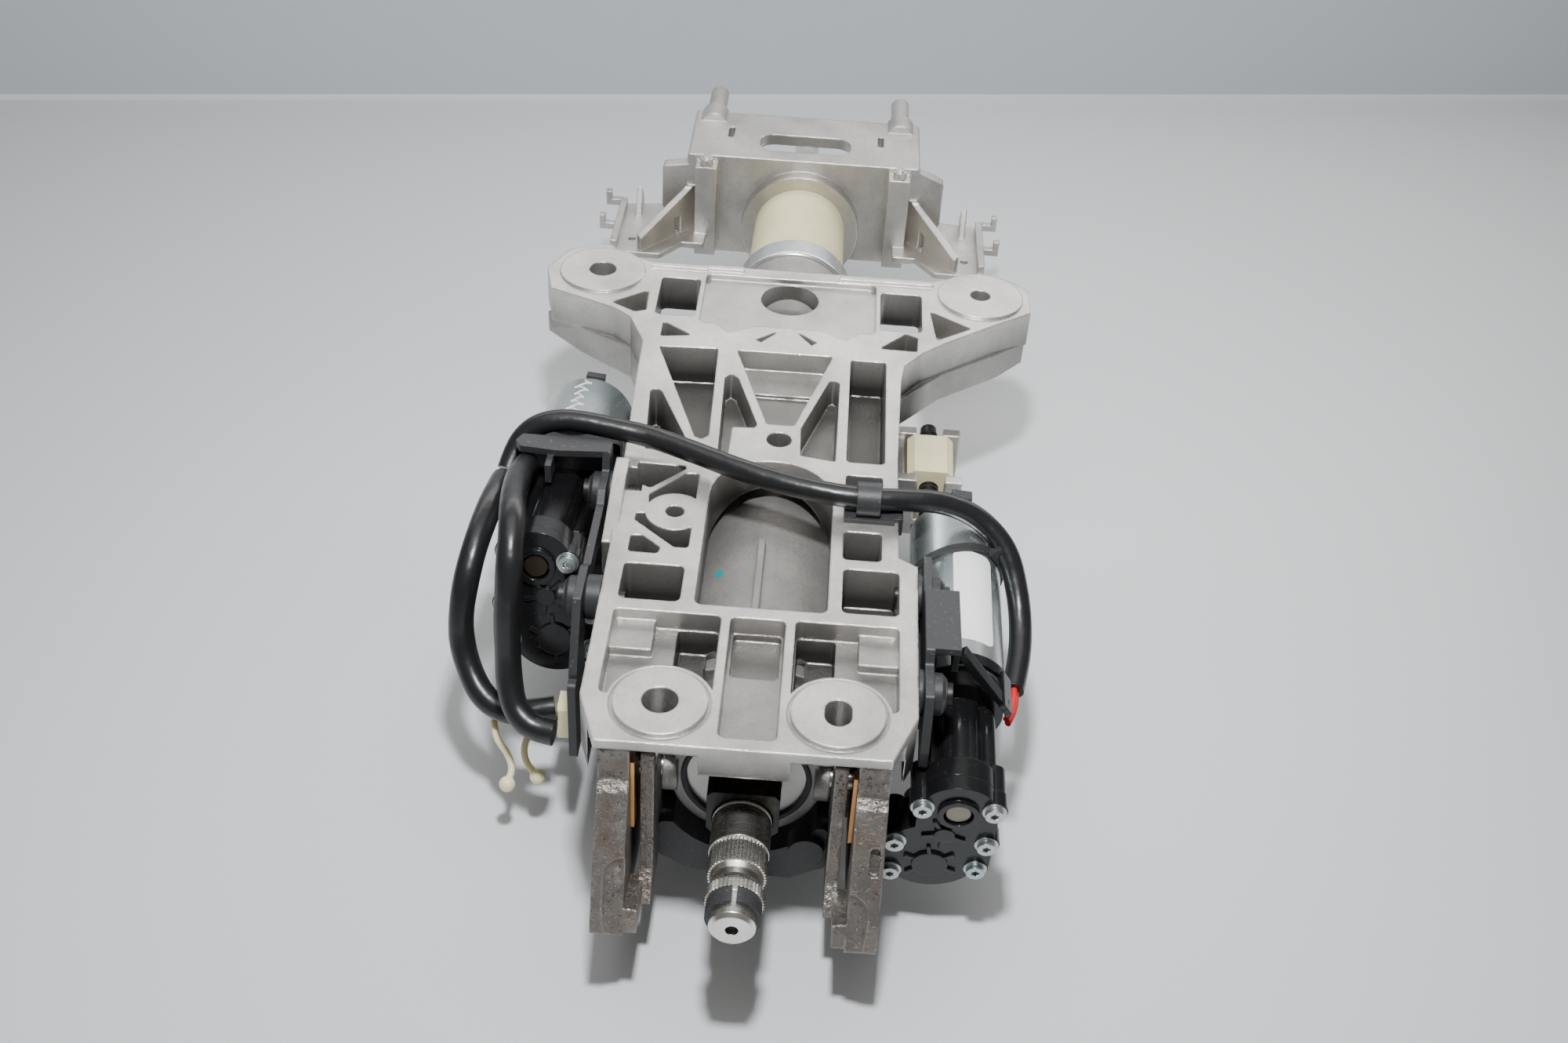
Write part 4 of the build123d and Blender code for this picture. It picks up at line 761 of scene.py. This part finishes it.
class COLUMN_OT_drives(bpy.types.Operator):
    """Finishes the two motor drives and the tilt lever."""

    bl_idname = "column.drives"
    bl_label = "Drives"

    def execute(self, context):
        names = [name for name in NODES if name.startswith(("reach_", "tilt_"))]
        names = [name for name in names if not name.endswith(("_bracket", "_arm"))]
        dress(names + ["cable_tie", "lead_connector", "twist_clip"])
        return {"FINISHED"}


class COLUMN_OT_column(bpy.types.Operator):
    """Finishes the jacket, the shafts, the tubes and the bracket at the wheel end."""

    bl_idname = "column.column"
    bl_label = "Column"

    def execute(self, context):
        dress(["outer_jacket", "bearing_ring", "ring_seal", "bearing_cup", "shaft_block",
               "lower_bearing", "zinc_collar", "lower_shaft", "shaft_end_ring", "inner_tube",
               "guide_sleeve", "head_bracket", "head_pins", "upper_bearing", "reach_arm",
               "upper_shaft"])
        return {"FINISHED"}


# Bare label and paint marks.


REACH_DRIVE = ((73.6, -2.0, -39.0), 6.0)
TILT_DRIVE = ((-82.2, 70.0, -3.7), -12.0)
JACKET_HOOD = ((0.0, 0.0, -73.3), 0.0)
REACH_CAN_RADIUS = 17.5
TILT_CAN_RADIUS = 19.3
HOOD_RADIUS = 52.0
FILM = 0.14
FILM_SUNK = 0.02
FILM_STEPS = 16
LABEL_FROM = 63.0
LABEL_TO = 108.5
LABEL_MIDDLE = 17.5
LABEL_HALF_TURN = 26.0
LABEL_CORNER = 3.0
LABEL_CORNER_STEPS = 6
WAVE_FROM = 97.0
WAVE_TO = 133.0
WAVE_MIDDLE = -6.0
WAVE_SWING = 10.0
WAVE_TURNS = 4.5
WAVE_LEAN = 1.17
WAVE_STEPS = 90
WAVE_RADIUS = 0.32
WAVE_LIFT = 0.05
DOT_PLACE = (96.0, -19.3)
DOT_SIZE = (2.4, 1.7)
DOT_STEPS = 10
DOT_TIP = 0.12


def own_frame(origin, pitch):
    """The frame of a drive or a round face: Y along its axis, Z up."""
    return Matrix.Translation(place(*origin)) @ Matrix.Rotation(math.radians(pitch), 4, "X")


def on_round(frame_matrix, radius, along, angle):
    """A point on a round face, by its distance along the axis and its angle from the top."""
    turn = math.radians(angle)
    return frame_matrix @ Vector((
        radius * MM * math.sin(turn), along * MM, radius * MM * math.cos(turn)))


def film(name, frame_matrix, radius, rows, middle, material):
    """A thin closed film on a round face; each row has a place along it and a half angle."""
    vertices = []
    for lift in (-FILM_SUNK, FILM):
        for along, half in rows:
            for step in range(FILM_STEPS + 1):
                angle = middle + half * (2.0 * step / FILM_STEPS - 1.0)
                vertices.append(on_round(frame_matrix, radius + lift, along, angle))
    across = FILM_STEPS + 1
    layer = across * len(rows)
    faces = []
    for row in range(len(rows) - 1):
        for step in range(FILM_STEPS):
            first = row * across + step
            cell = (first, first + 1, first + 1 + across, first + across)
            faces.append(tuple(reversed(cell)))
            faces.append(tuple(corner + layer for corner in cell))
    border = list(range(across))
    border += [row * across + FILM_STEPS for row in range(1, len(rows))]
    border += [(len(rows) - 1) * across + step for step in range(FILM_STEPS - 1, -1, -1)]
    border += [row * across for row in range(len(rows) - 2, 0, -1)]
    for first, second in zip(border, border[1:] + border[:1]):
        faces.append((first, second, second + layer, first + layer))
    return mesh_object(name, vertices, faces, material)


class COLUMN_OT_marks(bpy.types.Operator):
    """Adds the bare label, the wavy paint line and the paint dot."""

    bl_idname = "column.marks"
    bl_label = "Label and marks"

    def execute(self, context):
        self.label()
        self.wave()
        self.dot()
        return {"FINISHED"}

    def label(self):
        """A bare white label with round corners on the can of the drive on the right."""
        paper = plain("label_paper", LABEL_PAPER, 0.40)
        ends = [LABEL_CORNER * (1 - math.cos(math.radians(90.0 * step / LABEL_CORNER_STEPS)))
                for step in range(LABEL_CORNER_STEPS + 1)]
        places = [LABEL_FROM + end for end in ends] + [LABEL_TO - end for end in reversed(ends)]
        rows = []
        for along in places:
            depth = max(0.0, LABEL_CORNER - min(along - LABEL_FROM, LABEL_TO - along))
            inset = LABEL_CORNER - math.sqrt(max(0.0, LABEL_CORNER ** 2 - depth ** 2))
            rows.append((along, LABEL_HALF_TURN - math.degrees(inset / REACH_CAN_RADIUS)))
        label = film("reach_motor_label", own_frame(*REACH_DRIVE), REACH_CAN_RADIUS, rows,
                     LABEL_MIDDLE, paper)
        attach(label, body_named("reach_motor_can"))

    def wave(self):
        """A hand-drawn wavy line in white paint on the can of the drive on the left."""
        paint = plain("white_paint", WHITE_PAINT, 0.45)
        frame_matrix = own_frame(*TILT_DRIVE)
        route = []
        for step in range(WAVE_STEPS + 1):
            share = step / WAVE_STEPS
            swing = math.sin(2 * math.pi * WAVE_TURNS * share)
            along = WAVE_FROM + (WAVE_TO - WAVE_FROM) * share + WAVE_LEAN * math.sin(
                4 * math.pi * WAVE_TURNS * share + 0.6)
            angle = WAVE_MIDDLE + WAVE_SWING * swing * (0.8 + 0.2 * math.sin(9.0 * share))
            route.append(on_round(frame_matrix, TILT_CAN_RADIUS + WAVE_LIFT, along, angle))
        line = smooth_line("tilt_motor_wave", [route], WAVE_RADIUS, [paint])
        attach(line, body_named("tilt_motor_can"))

    def dot(self):
        """A small dab of blue-green paint on the hood of the jacket."""
        paint = plain("blue_green_paint", BLUE_GREEN_PAINT, 0.3)
        along, angle = DOT_PLACE
        length, width = DOT_SIZE
        rows = []
        for step in range(DOT_STEPS + 1):
            side = 2.0 * step / DOT_STEPS - 1.0
            half = max(DOT_TIP, math.sqrt(max(0.0, 1.0 - side * side)) * width)
            rows.append((along + length * side, math.degrees(half / HOOD_RADIUS)))
        dab = film("jacket_paint_dot", own_frame(*JACKET_HOOD), HOOD_RADIUS, rows, angle, paint)
        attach(dab, body_named("outer_jacket"))


# Sidebar panel and registration.


OPERATORS = (COLUMN_OT_stage, COLUMN_OT_leads, COLUMN_OT_console, COLUMN_OT_drives,
             COLUMN_OT_column, COLUMN_OT_marks)


class COLUMN_PT_panel(bpy.types.Panel):
    """Lists the steps in the sidebar."""

    bl_idname = "COLUMN_PT_panel"
    bl_label = "Steering column adjuster"
    bl_space_type = "VIEW_3D"
    bl_region_type = "UI"
    bl_category = "Column"

    def draw(self, context):
        for operator in OPERATORS:
            self.layout.operator(operator.bl_idname)


CLASSES = (ColumnFinish, StudioSettings, *OPERATORS, COLUMN_PT_panel)


def register():
    """Registers the classes and their settings."""
    for item in CLASSES:
        bpy.utils.register_class(item)
    bpy.types.Scene.column_finish = bpy.props.PointerProperty(type=ColumnFinish)
    bpy.types.Scene.column_studio = bpy.props.PointerProperty(type=StudioSettings)


def unregister():
    """Removes the settings and the classes."""
    del bpy.types.Scene.column_studio
    del bpy.types.Scene.column_finish
    for item in reversed(CLASSES):
        bpy.utils.unregister_class(item)


def main():
    """Builds the scene in order."""
    register()
    bpy.ops.column.stage()
    finishes()
    bpy.ops.column.leads()
    bpy.ops.column.console()
    bpy.ops.column.drives()
    bpy.ops.column.column()
    bpy.ops.column.marks()


if __name__ == "__main__":
    main()
